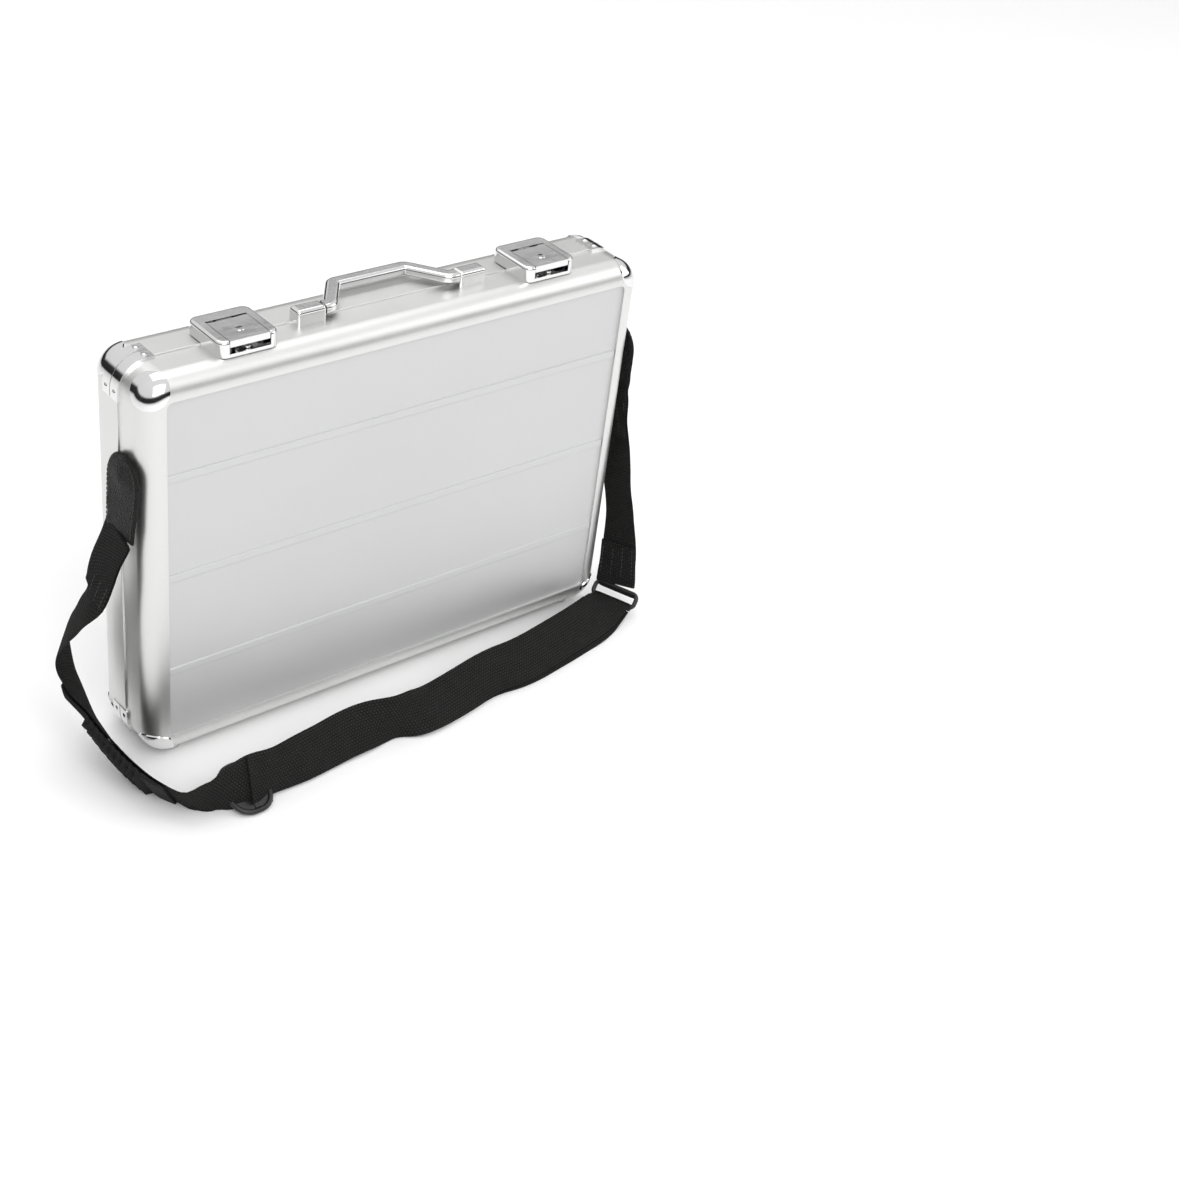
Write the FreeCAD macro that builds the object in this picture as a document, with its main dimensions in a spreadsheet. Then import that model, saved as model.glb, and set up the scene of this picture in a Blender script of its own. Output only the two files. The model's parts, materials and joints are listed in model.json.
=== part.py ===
import FreeCAD, Part
import math
import os

import Sketcher
from FreeCAD import Placement, Rotation, Vector

# An aluminium attache case that stands on its hinge side: a deep base shell towards -Y, which
# carries the handle, the latches and the shoulder strap, and a shallow lid shell towards +Y.
# Everything is built in the case's own frame, whose origin is the middle of the underside of the
# case on the parting plane: X along the length, Y through the depth, Z up. Each finished piece
# then gets the placement that stands the case on its feet with its depth centred on the origin.

SIZES = {
    # the two shells
    "case_length": 457, "case_height": 330, "base_depth": 44, "lid_depth": 32,
    "frame_wall": 2, "corner_radius": 22, "edge_radius": 15, "lip_width": 17.5, "lip_corner": 5,
    "bead_width": 8, "bead_height": 1.2, "bead_round": 0.5,
    "tongue_height": 4, "tongue_thickness": 1, "tongue_root": 5, "tongue_gap": 0.4,
    # the faced boards and what lines them
    "panel_thickness": 3, "panel_overlap": 2.2,
    "rib_width": 6.5, "rib_height": 1, "rib_pitch": 85, "rib_round": 0.7,
    "lining_thickness": 2, "seat_gap": 0.2, "running_gap": 0.6,
    "divider_offset": 60, "divider_width": 14, "divider_below_rim": 9.7, "divider_round": 3,
    "strap_band_offset": 65, "strap_band_width": 40, "strap_band_thickness": 1.5,
    "short_band": 110, "long_band_stop": 60, "sewn_gap": 0.1,
    "strip_width": 7, "strip_thickness": 0.8,
    # corner hardware
    "cap_thickness": 0.9, "cap_centre": 10, "cap_reach": 14.5,
    "bracket_thickness": 0.8, "bracket_arm": 28, "bracket_band": 10.5, "bracket_gap": 0.4,
    "rivet_from_end": 22, "rivet_from_rim": 5.7, "rivet_head": 4.6, "rivet_dome": 1.1, "rivet_shank": 3,
    "foot_height": 5.5, "foot_diameter": 14, "foot_stem": 4, "foot_from_end": 28,
    "foot_from_front": 18, "foot_from_back": 13.5,
    # handle
    "handle_bracket_offset": 74, "handle_bracket_length": 25, "handle_bracket_depth": 13,
    "handle_bracket_height": 11.8, "handle_from_rim": 9.5, "handle_axis_height": 7.4,
    "handle_reach": 28.5, "handle_grip_half": 33, "handle_width": 12, "handle_thickness": 8,
    "handle_end_gap": 0.4, "handle_pin": 5, "pin_clearance": 0.05,
    # latches
    "latch_offset": 138, "latch_width": 50, "latch_front": 34, "latch_back": 12, "latch_height": 12.5,
    "latch_corner": 7, "latch_round": 2.6,
    "latch_roof": 1.2, "latch_floor": 1.2, "latch_sill": 2.6, "latch_sill_depth": 1.4,
    "latch_window": 34, "lever_width": 33, "lever_thickness": 1.5, "lever_lip": 5,
    "lever_pivot": 0.5, "lever_pivot_drop": 3.5, "latch_pin": 2.4, "lever_hub": 3.8,
    "claw_width": 12, "claw_reach": 7.5, "claw_low": 4.2, "claw_thickness": 1.8, "claw_tooth": 1.5,
    "bar_near": 3.5, "bar_far": 5.3, "bar_low": 2.1, "bar_high": 0.4,
    "lock_diameter": 9, "lock_setback": 18, "lock_proud": 0.4, "lock_boss": 12, "cam_length": 14,
    "cam_width": 6, "cam_thickness": 1.6,
    "strike_width": 30, "strike_back": 17, "strike_plate": 1.2,
    # hinge
    "hinge_end": 38.5, "hinge_knuckle": 3.6, "hinge_pin": 1.8, "hinge_drop": 2.1, "hinge_leaf": 14,
    "hinge_leaf_thickness": 0.8, "hinge_knuckles": 19, "hinge_gap": 0.4,
    # pockets in the lid
    "pocket_thickness": 1.6,
    # shoulder strap
    "stud_drop": 80, "stud_from_rim": 22, "stud_shank": 5, "stud_flange": 14, "stud_head": 9,
    "stud_flange_thickness": 1.5, "stud_neck": 1.2, "stud_head_thickness": 2,
    "tab_width": 44, "tab_length": 62, "tab_thickness": 5, "tab_stand_off": 3,
    "webbing_width": 38, "webbing_thickness": 1.8,
    "grip_length": 110, "grip_thickness": 6, "slider_length": 38, "slider_height": 48,
    "slider_thickness": 3, "ring_length": 46, "ring_width": 17, "ring_wire": 4,
}

doc = FreeCAD.newDocument("AttacheCase")
sheet = doc.addObject("Spreadsheet::Sheet", "Sizes")
for row, (alias, value) in enumerate(SIZES.items(), start=1):
    sheet.set(f"A{row}", alias)
    sheet.set(f"B{row}", str(value))
    sheet.setAlias(f"B{row}", alias)
doc.recompute()

pieces = []  # every finished piece, in the order in which it is written


class Length:
    """A length that knows its value and the sheet expression that it comes from."""

    def __init__(self, value, text):
        self.value, self.text = value, text

    @staticmethod
    def of(other):
        return other if isinstance(other, Length) else Length(float(other), repr(float(other)))

    def _with(self, other, sign, result):
        return Length(result, f"({self.text} {sign} {Length.of(other).text})")

    def __add__(self, other):
        return self._with(other, "+", self.value + Length.of(other).value)

    def __sub__(self, other):
        return self._with(other, "-", self.value - Length.of(other).value)

    def __mul__(self, other):
        return self._with(other, "*", self.value * Length.of(other).value)

    def __truediv__(self, other):
        return self._with(other, "/", self.value / Length.of(other).value)

    def __radd__(self, other):
        return Length.of(other) + self

    def __rsub__(self, other):
        return Length.of(other) - self

    def __rmul__(self, other):
        return Length.of(other) * self

    def __neg__(self):
        return Length(-self.value, f"(-1 * {self.text})")


def size(alias):
    """The length in the sheet cell of that name."""
    return Length(float(sheet.get(alias)), f"{sheet.Name}.{alias}")


def bind(thing, target, length):
    """Ties one property of a document object to the sheet."""
    thing.setExpression(target, Length.of(length).text)


def bind_base(thing, x, y, z):
    """Ties the three coordinates of an object's placement to the sheet."""
    for axis, length in zip("xyz", (x, y, z)):
        bind(thing, f"Placement.Base.{axis}", length)


LONG, TALL = size("case_length"), size("case_height")
DEPTH = {"base": size("base_depth"), "lid": size("lid_depth")}
OUTWARD = {"base": -1, "lid": 1}  # the way along Y that each shell faces
WALL, CORNER, EDGE = size("frame_wall"), size("corner_radius"), size("edge_radius")
MIDDLE = TALL / 2
PARTING = (DEPTH["base"] - DEPTH["lid"]) / 2  # where the parting plane stands along Y


def finish(thing, label):
    """Names a finished piece and stands it on the case's feet."""
    thing.Label = label
    bind_base(thing, 0, PARTING, size("foot_height"))
    pieces.append(thing)
    return thing


# ---------------------------------------------------------------- PartDesign helpers

PLANES = {"XY_Plane": 1, "XZ_Plane": -1, "YZ_Plane": 1}  # sign of each plane's normal along its axis


def new_body(name):
    return doc.addObject("PartDesign::Body", name + "_body")


def new_sketch(body, name, plane, level, centre=(0, 0)):
    """A sketch on one of the body's own planes, at a level along that plane's axis."""
    sketch = body.newObject("Sketcher::SketchObject", name)
    origin = next(f for f in body.Origin.OriginFeatures if f.Role == plane)
    sketch.AttachmentSupport = [(origin, "")]
    sketch.MapMode = "FlatFace"
    bind(sketch, "AttachmentOffset.Base.x", centre[0])
    bind(sketch, "AttachmentOffset.Base.y", centre[1])
    bind(sketch, "AttachmentOffset.Base.z", Length.of(level) * PLANES[plane])
    return sketch


def tie(sketch, name, constraint, length):
    """Adds a named dimension to a sketch and ties it to the sheet."""
    index = sketch.addConstraint(constraint)
    sketch.renameConstraint(index, name)
    bind(sketch, f"Constraints.{name}", length)


def draw_rectangle(sketch, name, width, height, radius=None):
    """Draws a rectangle about the sketch's origin, with round corners where a radius is given."""
    wide, high = Length.of(width), Length.of(height)
    turn = Length.of(radius or 0)
    x, y, r = wide.value / 2, high.value / 2, turn.value
    first = sketch.GeometryCount
    corners = [(x, -y), (x, y), (-x, y), (-x, -y)]
    for k, (cx, cy) in enumerate(corners):
        px, py = corners[k - 1]
        along = Vector(cx - px, cy - py, 0).normalize() * r
        start, end = Vector(px, py, 0) + along, Vector(cx, cy, 0) - along
        sketch.addGeometry(Part.LineSegment(start, end))
        if r:
            centre = Vector(cx - math.copysign(r, cx), cy - math.copysign(r, cy), 0)
            sweep = math.radians(-90 + 90 * k)
            circle = Part.Circle(centre, Vector(0, 0, 1), r)
            sketch.addGeometry(Part.ArcOfCircle(circle, sweep, sweep + math.pi / 2))
    step = 2 if r else 1
    lines = [first + step * k for k in range(4)]
    for k in range(4):
        following = lines[(k + 1) % 4]
        if r:
            arc = lines[k] + 1
            sketch.addConstraint(Sketcher.Constraint("Tangent", lines[k], 2, arc, 1))
            sketch.addConstraint(Sketcher.Constraint("Tangent", arc, 2, following, 1))
        else:
            sketch.addConstraint(Sketcher.Constraint("Coincident", lines[k], 2, following, 1))
        sketch.addConstraint(Sketcher.Constraint("Horizontal" if k % 2 == 0 else "Vertical", lines[k]))
    if r:
        arcs = [line + 1 for line in lines]
        for arc in arcs[1:]:
            sketch.addConstraint(Sketcher.Constraint("Equal", arcs[0], arc))
        tie(sketch, name + "_radius", Sketcher.Constraint("Radius", arcs[0], r), turn)
        sketch.addConstraint(Sketcher.Constraint("Symmetric", arcs[0], 3, arcs[2], 3, -1, 1))
    else:
        sketch.addConstraint(Sketcher.Constraint("Symmetric", lines[0], 1, lines[2], 1, -1, 1))
    across = Sketcher.Constraint("DistanceX", lines[3], 1, lines[1], 1, 2 * x)
    upwards = Sketcher.Constraint("DistanceY", lines[0], 1, lines[2], 1, 2 * y)
    tie(sketch, name + "_width", across, wide)
    tie(sketch, name + "_height", upwards, high)


def draw_circle(sketch, name, diameter):
    """Draws a circle about the sketch's origin."""
    circle = sketch.addGeometry(Part.Circle(Vector(0, 0, 0), Vector(0, 0, 1), Length.of(diameter).value / 2))
    sketch.addConstraint(Sketcher.Constraint("Coincident", circle, 3, -1, 1))
    tie(sketch, name, Sketcher.Constraint("Diameter", circle, Length.of(diameter).value), diameter)


def grow(body, sketch, length, way):
    """Pads a sketch along its axis: way is +1 or -1 along X, Y or Z."""
    pad = body.newObject("PartDesign::Pad", sketch.Name + "_pad")
    pad.Profile = sketch
    pad.Reversed = way * PLANES[plane_of(sketch)] < 0
    bind(pad, "Length", length)
    doc.recompute()
    return pad


def carve(body, sketch, length, way):
    """Pockets a sketch along its axis, and makes sure that it takes material away."""
    before = body.Shape.Volume
    pocket = body.newObject("PartDesign::Pocket", sketch.Name + "_pocket")
    pocket.Profile = sketch
    pocket.Reversed = way * PLANES[plane_of(sketch)] > 0
    bind(pocket, "Length", length)
    doc.recompute()
    if body.Shape.Volume >= before - 1e-6:
        raise RuntimeError(f"{pocket.Name} removes nothing")
    return pocket


def plane_of(sketch):
    return sketch.AttachmentSupport[0][0].Role


def edges_in(shape, axis, level):
    """The names of the edges that lie in the plane at that level of the axis."""
    names = []
    for number, edge in enumerate(shape.Edges, start=1):
        box = edge.BoundBox
        low, high = getattr(box, axis + "Min"), getattr(box, axis + "Max")
        if abs(low - level.value) < 1e-3 and abs(high - level.value) < 1e-3:
            names.append(f"Edge{number}")
    return names


def soften(body, axis, level, radius, keep=None):
    """Rounds the edges that lie in one plane; keep picks some of them."""
    names = edges_in(body.Shape, axis, Length.of(level))
    if keep:
        names = [n for n in names if keep(body.Shape.getElement(n))]
    rounded = body.Tip
    fillet = body.newObject("PartDesign::Fillet", f"{body.Name}_round_{len(body.Group)}")
    fillet.Base = (rounded, names)
    bind(fillet, "Radius", radius)
    doc.recompute()
    return fillet


# ---------------------------------------------------------------- Part helpers

def block(name, x, y, z):
    """A box between two lengths on each axis."""
    box = doc.addObject("Part::Box", name)
    for target, span in zip(("Length", "Width", "Height"), (x, y, z)):
        bind(box, target, Length.of(span[1]) - span[0])
    bind_base(box, x[0], y[0], z[0])
    return box


TURNS = {
    "x": Rotation(Vector(0, 1, 0), 90), "-x": Rotation(Vector(0, 1, 0), -90),
    "y": Rotation(Vector(1, 0, 0), -90), "z": Rotation(),
}


def rod(name, start, axis, diameter, length):
    """A cylinder that starts at a point and runs along an axis."""
    cylinder = doc.addObject("Part::Cylinder", name)
    cylinder.Placement = Placement(Vector(), TURNS[axis])
    bind(cylinder, "Radius", Length.of(diameter) / 2)
    bind(cylinder, "Height", length)
    bind_base(cylinder, *start)
    return cylinder


def fuse(name, shapes):
    result = doc.addObject("Part::MultiFuse", name)
    result.Shapes = shapes
    result.Refine = True
    return result


def cut(name, base, tools):
    result = doc.addObject("Part::Cut", name)
    result.Base = base
    result.Tool = tools[0] if len(tools) == 1 else fuse(name + "_tools", tools)
    result.Refine = True
    return result


def common(name, first, second):
    result = doc.addObject("Part::Common", name)
    result.Base, result.Tool = first, second
    result.Refine = True
    return result


def mirror(name, source, normal, base=None):
    result = doc.addObject("Part::Mirroring", name)
    result.Source, result.Normal = source, normal
    if base:
        for axis, length in zip("xyz", base):
            bind(result, f"Base.{axis}", length)
    return result


def together(name, things):
    """Several separate solids as one piece."""
    result = doc.addObject("Part::Compound", name)
    result.Links = things
    return result


def made(name, shape):
    """A piece whose shape is built in code from the sheet's sizes."""
    feature = doc.addObject("Part::Feature", name)
    feature.Shape = shape
    return feature


# ---------------------------------------------------------------- shells

def outline(sketch, name, outset, radius_outset=None):
    """The case's rounded outline, moved outwards by a length."""
    out = Length.of(outset)
    turn = CORNER + out if radius_outset is None else radius_outset
    draw_rectangle(sketch, name, LONG + out * 2, TALL + out * 2, turn)


def rounded_block(name, shell, outset):
    """The solid that a shell's outside bounds, moved outwards by a length."""
    way, out = OUTWARD[shell], Length.of(outset)
    body = new_body(name)
    sketch = new_sketch(body, name + "_outline", "XZ_Plane", 0, (0, MIDDLE))
    outline(sketch, "outer", out)
    grow(body, sketch, DEPTH[shell] + out, way)
    soften(body, "Y", (DEPTH[shell] + out) * way, EDGE + out)
    return body


def shell_frame(shell):
    """The extruded frame: round outer edge, raised rim bead, lip round the board, and a tongue on the base."""
    way, depth = OUTWARD[shell], DEPTH[shell]
    body = new_body(shell + "_frame")
    blank = new_sketch(body, shell + "_blank", "XZ_Plane", 0, (0, MIDDLE))
    outline(blank, "outer", 0)
    grow(body, blank, depth, way)
    bead = new_sketch(body, shell + "_bead", "XZ_Plane", 0, (0, MIDDLE))
    outline(bead, "outer", size("bead_height"))
    grow(body, bead, size("bead_width"), way)
    soften(body, "Y", size("bead_width") * way, size("bead_round"), keep=lambda e: outside(e, "bead_height"))
    inside = new_sketch(body, shell + "_inside", "XZ_Plane", 0, (0, MIDDLE))
    outline(inside, "inner", -WALL)
    carve(body, inside, depth - WALL, way)
    soften(body, "Y", (depth - WALL) * way, EDGE - WALL)
    soften(body, "Y", depth * way, EDGE)
    opening = new_sketch(body, shell + "_opening", "XZ_Plane", depth * way, (0, MIDDLE))
    outline(opening, "inner", -size("lip_width"), size("lip_corner"))
    carve(body, opening, WALL * 1.5, -way)
    if shell == "base":
        root = new_sketch(body, "tongue_root_ring", "XZ_Plane", 0, (0, MIDDLE))
        outline(root, "outer", WALL * -0.5)
        outline(root, "inner", -(WALL + size("tongue_gap") + size("tongue_thickness")))
        grow(body, root, size("tongue_root"), way)
        tongue = new_sketch(body, "tongue_ring", "XZ_Plane", 0, (0, MIDDLE))
        outline(tongue, "outer", -(WALL + size("tongue_gap")))
        outline(tongue, "inner", -(WALL + size("tongue_gap") + size("tongue_thickness")))
        grow(body, tongue, size("tongue_height"), -way)
    return body


def outside(edge, alias):
    """Whether an edge lies on the outline moved outwards by the length of that name."""
    box = edge.BoundBox
    reach = max(box.XMax, -box.XMin) - LONG.value / 2
    rise = max(box.ZMax - TALL.value, -box.ZMin)
    return max(reach, rise) > size(alias).value - 1e-3


def shell_panel(shell):
    """The faced board behind the frame's lip, with its three pressed ribs."""
    way = OUTWARD[shell]
    face = (DEPTH[shell] - WALL) * way
    body = new_body(shell + "_panel")
    board = new_sketch(body, shell + "_board", "XZ_Plane", face, (0, MIDDLE))
    outline(board, "outer", size("panel_overlap") - size("lip_width"), size("lip_corner") + size("panel_overlap"))
    grow(body, board, size("panel_thickness"), -way)
    rib = new_sketch(body, shell + "_rib", "XZ_Plane", face, (0, MIDDLE - size("rib_pitch")))
    draw_rectangle(rib, "rib", LONG - size("lip_width") * 2 - size("seat_gap") * 2, size("rib_width"))
    raised = grow(body, rib, size("rib_height"), way)
    ribs = body.newObject("PartDesign::LinearPattern", shell + "_ribs")
    ribs.Originals = [raised]
    ribs.Direction = (rib, ["V_Axis"])
    bind(ribs, "Length", size("rib_pitch") * 2)
    ribs.Occurrences = 3
    body.Tip = ribs
    doc.recompute()
    soften(body, "Y", face + size("rib_height") * way, size("rib_round"))
    return body


def shell_lining(shell):
    """The lined tray inside a shell."""
    way = OUTWARD[shell]
    gap = size("seat_gap") if shell == "base" else size("running_gap")
    out = -(WALL + size("tongue_gap") + size("tongue_thickness") + gap)
    floor = lining_floor(shell)
    rim = lining_rim(shell)
    body = new_body(shell + "_lining")
    tray = new_sketch(body, shell + "_tray", "XZ_Plane", rim, (0, MIDDLE))
    outline(tray, "outer", out)
    grow(body, tray, (floor - rim) * way, way)
    turn = EDGE + out
    hollow = new_sketch(body, shell + "_hollow", "XZ_Plane", rim, (0, MIDDLE))
    outline(hollow, "inner", out - size("lining_thickness"))
    carve(body, hollow, (floor - rim) * way - size("lining_thickness"), way)
    soften(body, "Y", floor - size("lining_thickness") * way, turn - size("lining_thickness"))
    soften(body, "Y", floor, turn)
    return body


def lining_floor(shell):
    """The outer face of a lining's floor, which lies on the board."""
    return (DEPTH[shell] - WALL - size("panel_thickness") - size("seat_gap")) * OUTWARD[shell]


def lining_rim(shell):
    """Where a lining's rim stands: just inside the base, and beyond the tongue in the lid."""
    if shell == "base":
        return Length.of(-1)
    return size("tongue_height") + 1


def inner_floor(shell):
    """The lined floor that faces the room inside the case."""
    return lining_floor(shell) - size("lining_thickness") * OUTWARD[shell]


def corner_caps(shell):
    """Four polished caps over a shell's outer corners."""
    way = OUTWARD[shell]
    outer = rounded_block(shell + "_cap_outer", shell, size("cap_thickness"))
    inner = rounded_block(shell + "_cap_inner", shell, 0)
    clear = (size("bracket_band") + size("seat_gap")) * way
    ends = (Length.of(-1), clear) if way > 0 else (clear, Length.of(1))
    rim = block(shell + "_cap_rim", (-LONG, LONG), ends, (-TALL, TALL * 2))
    skin = cut(shell + "_cap_skin", outer, [inner, rim])
    reach = doc.addObject("Part::Sphere", shell + "_cap_reach")
    bind(reach, "Radius", size("cap_reach"))
    inset = size("cap_centre")
    bind_base(reach, LONG / 2 - inset, (DEPTH[shell] - inset) * way, TALL - inset)
    first = common(shell + "_cap_1", skin, reach)
    second = mirror(shell + "_cap_2", first, Vector(1, 0, 0))
    lower = [
        mirror(f"{shell}_cap_{number}", source, Vector(0, 0, 1), (0, 0, MIDDLE))
        for number, source in ((3, first), (4, second))
    ]
    return finish(together(shell + "_corner_caps", [first, second, *lower]), shell + "_corner_caps")


# ---------------------------------------------------------------- rivets

def rivet_places(shell):
    """Where a shell's corner rivets go: a point on the bracket's face and the way outwards, for each."""
    way = OUTWARD[shell]
    rise = size("bead_height").value + size("bracket_thickness").value
    y = way * size("rivet_from_rim").value
    run = size("rivet_from_end").value
    places = []
    for side in (-1, 1):
        for z, up in ((-rise, -1), (TALL.value + rise, 1)):
            places.append((Vector(side * (LONG.value / 2 - run), y, z), Vector(0, 0, up)))
        for z in (run, TALL.value - run):
            places.append((Vector(side * (LONG.value / 2 + rise), y, z), Vector(side, 0, 0)))
    return places


def rivet_holes(name, places, diameter, length):
    """Drillings at the places, from just outside inwards."""
    holes = [Part.makeCylinder(diameter / 2, length, point + out, -out) for point, out in places]
    return made(name, Part.makeCompound(holes))


def rivets(name, places):
    """Domed rivets at the places."""
    head, dome = size("rivet_head").value / 2, size("rivet_dome").value
    ball = (head * head + dome * dome) / (2 * dome)
    latitude = math.degrees(math.asin((ball - dome) / ball))
    length = size("bead_height").value + size("bracket_thickness").value + WALL.value + 1
    solids = []
    for point, out in places:
        cap = Part.makeSphere(ball, point - out * (ball - dome), out, latitude, 90, 360)
        shank = Part.makeCylinder(size("rivet_shank").value / 2, length, point, -out)
        solids.append(cap.fuse(shank).removeSplitter())
    return finish(made(name, Part.makeCompound(solids)), name)


# ---------------------------------------------------------------- corner brackets of the rim

def rim_brackets(shell):
    """Four angle brackets over a shell's rim bead, each drilled for its two rivets."""
    way = OUTWARD[shell]
    top = size("bead_height") + size("bracket_thickness")
    near, far = size("bracket_gap"), size("bead_width") + size("seat_gap")
    body = new_body(shell + "_rim_bracket")
    band = new_sketch(body, shell + "_band", "XZ_Plane", near * way, (0, MIDDLE))
    outline(band, "outer", top)
    outline(band, "inner", size("bead_height"))
    grow(body, band, size("bracket_band") - near, way)
    foot = new_sketch(body, shell + "_band_foot", "XZ_Plane", far * way, (0, MIDDLE))
    outline(foot, "outer", top)
    outline(foot, "inner", 0)
    grow(body, foot, size("bracket_band") - far, way)
    arm = size("bracket_arm")
    ways = (-size("bracket_band") * 2, size("bracket_band") * 2)
    corner = block(shell + "_bracket_region", (LONG / 2 - arm, LONG / 2 + 5), ways, (TALL - arm, TALL + 5))
    first = common(shell + "_bracket_blank", body, corner)
    holes = rivet_holes(shell + "_bracket_holes", rivet_places(shell), size("rivet_shank").value, 4)
    drilled = cut(shell + "_bracket_drilled", first, [holes])
    right_low = mirror(shell + "_bracket_low", drilled, Vector(0, 0, 1), (0, 0, MIDDLE))
    for height, source in (("top", drilled), ("bottom", right_low)):
        name = f"{shell}_bracket_{height}_"
        finish(mirror(name + "left", source, Vector(1, 0, 0)), name + "left")
        finish(together(name + "right", [source]), name + "right")


# ---------------------------------------------------------------- feet

def foot_spots(shell):
    """Where a shell's two feet stand."""
    inset = size("foot_from_front") if shell == "base" else size("foot_from_back")
    y = (DEPTH[shell] - inset) * OUTWARD[shell]
    return [((LONG / 2 - size("foot_from_end")) * side, y) for side in (-1, 1)]


def feet(shell):
    """Two round feet, each with a stem that is pushed through the frame."""
    solid = rounded_block(shell + "_foot_seat", shell, 0)
    made_feet = []
    for number, (x, y) in enumerate(foot_spots(shell), start=1):
        name = f"{shell}_foot_{number}"
        body = new_body(name)
        sketch = new_sketch(body, name + "_pad", "XY_Plane", -size("foot_height"), (x, y))
        draw_circle(sketch, "rim", size("foot_diameter"))
        grow(body, sketch, size("foot_height") + EDGE / 4, 1)
        soften(body, "Z", -size("foot_height"), size("foot_height") / 4)
        seated = cut(name + "_seated", body, [solid])
        stem = rod(name + "_stem", (x, y, size("foot_height") * -0.5), "z", size("foot_stem"),
                   size("foot_height") / 2 + WALL + 1)
        made_feet.append(fuse(name + "_whole", [seated, stem]))
    return finish(together(shell + "_feet", made_feet), shell + "_feet")


def foot_holes(shell):
    return [
        rod(f"{shell}_foot_hole_{number}", (x, y, -1), "z", size("foot_stem"), WALL + 2)
        for number, (x, y) in enumerate(foot_spots(shell), start=1)
    ]


# ---------------------------------------------------------------- handle

HANDLE_Y = -size("handle_from_rim")
HANDLE_Z = TALL + size("handle_axis_height")
BRACKET_INNER = size("handle_bracket_offset") - size("handle_bracket_length") / 2


def handle_bracket(side, name):
    """A rounded block that holds one of the handle's pins."""
    body = new_body(name)
    centre = (size("handle_bracket_offset") * side, HANDLE_Y)
    base = new_sketch(body, name + "_foot", "XY_Plane", TALL, centre)
    draw_rectangle(base, "foot", size("handle_bracket_length"), size("handle_bracket_depth"), Length.of(2))
    grow(body, base, size("handle_bracket_height"), 1)
    soften(body, "Z", TALL + size("handle_bracket_height"), size("handle_bracket_height") / 4)
    bore = new_sketch(body, name + "_bore", "YZ_Plane", BRACKET_INNER * side, (HANDLE_Y, HANDLE_Z))
    draw_circle(bore, "bore", size("handle_pin") + size("pin_clearance") * 2)
    carve(body, bore, size("handle_bracket_length") * 0.7, side)
    # the block straddles the rim bead, so its underside is relieved over it
    relief = block(name + "_relief", (centre[0] - 20, centre[0] + 20),
                   (-size("bead_width") - size("seat_gap"), Length.of(5)),
                   (TALL - 1, TALL + size("bead_height")))
    return finish(cut(name, body, [relief]), name)


def bar_path(points, radius):
    """Straight runs joined by tangent arcs of one radius."""
    edges, here = [], points[0]
    for k in range(1, len(points) - 1):
        back = (points[k - 1] - points[k]).normalize()
        on = (points[k + 1] - points[k]).normalize()
        half = back.getAngle(on) / 2
        reach = radius / math.tan(half)
        start, end = points[k] + back * reach, points[k] + on * reach
        towards = (back + on).normalize()
        middle = points[k] + towards * (radius / math.sin(half) - radius)
        edges += [Part.LineSegment(here, start).toShape(), Part.Arc(start, middle, end).toShape()]
        here = end
    edges.append(Part.LineSegment(here, points[-1]).toShape())
    return Part.Wire(edges)


def handle():
    """The bail: one bar bent to a trapezoid, which lies back over the lid, with a pin in each end."""
    y, z = HANDLE_Y.value, HANDLE_Z.value
    end = (BRACKET_INNER - size("handle_end_gap")).value
    knee, grip = end - size("handle_width").value * 0.55, size("handle_grip_half").value
    reach = y + size("handle_reach").value
    route = [(-end, y), (-knee, y), (-grip, reach), (grip, reach), (knee, y), (end, y)]
    points = [Vector(px, py, z) for px, py in route]
    wide, thick = size("handle_width").value, size("handle_thickness").value
    section = Part.makeBox(1, wide, thick, Vector(-end - 0.5, y - wide / 2, z - thick / 2))
    section = section.makeFillet(thick * 0.4, [e for e in section.Edges if e.BoundBox.XLength > 0.5])
    face = section.slice(Vector(1, 0, 0), -end)[0]
    path = bar_path(points, wide * 0.55)
    bar = path.makePipeShell([face], True, True)
    bores = [
        Part.makeCylinder(size("handle_pin").value / 2, 8, Vector(s * (end - 8), y, z), Vector(s, 0, 0))
        for s in (-1, 1)
    ]
    finish(made("handle", bar.cut(Part.makeCompound(bores))), "handle")
    pin_length = size("handle_bracket_length") * 0.6 + size("handle_end_gap") + 8
    start = BRACKET_INNER - size("handle_end_gap") - 8
    pins = [
        rod("handle_pin_left", (-start, HANDLE_Y, HANDLE_Z), "-x", size("handle_pin"), pin_length),
        rod("handle_pin_right", (start, HANDLE_Y, HANDLE_Z), "x", size("handle_pin"), pin_length),
    ]
    finish(together("handle_pins", pins), "handle_pins")


# ---------------------------------------------------------------- latches

LATCH_TOP = TALL + size("latch_height")
PIVOT_Y, PIVOT_Z = size("lever_pivot"), LATCH_TOP - size("lever_pivot_drop")
LOCK_Y = -size("lock_setback")


def either_side(centre, width):
    """A span of that width about a centre."""
    return (centre - Length.of(width) / 2, centre + Length.of(width) / 2)


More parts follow.
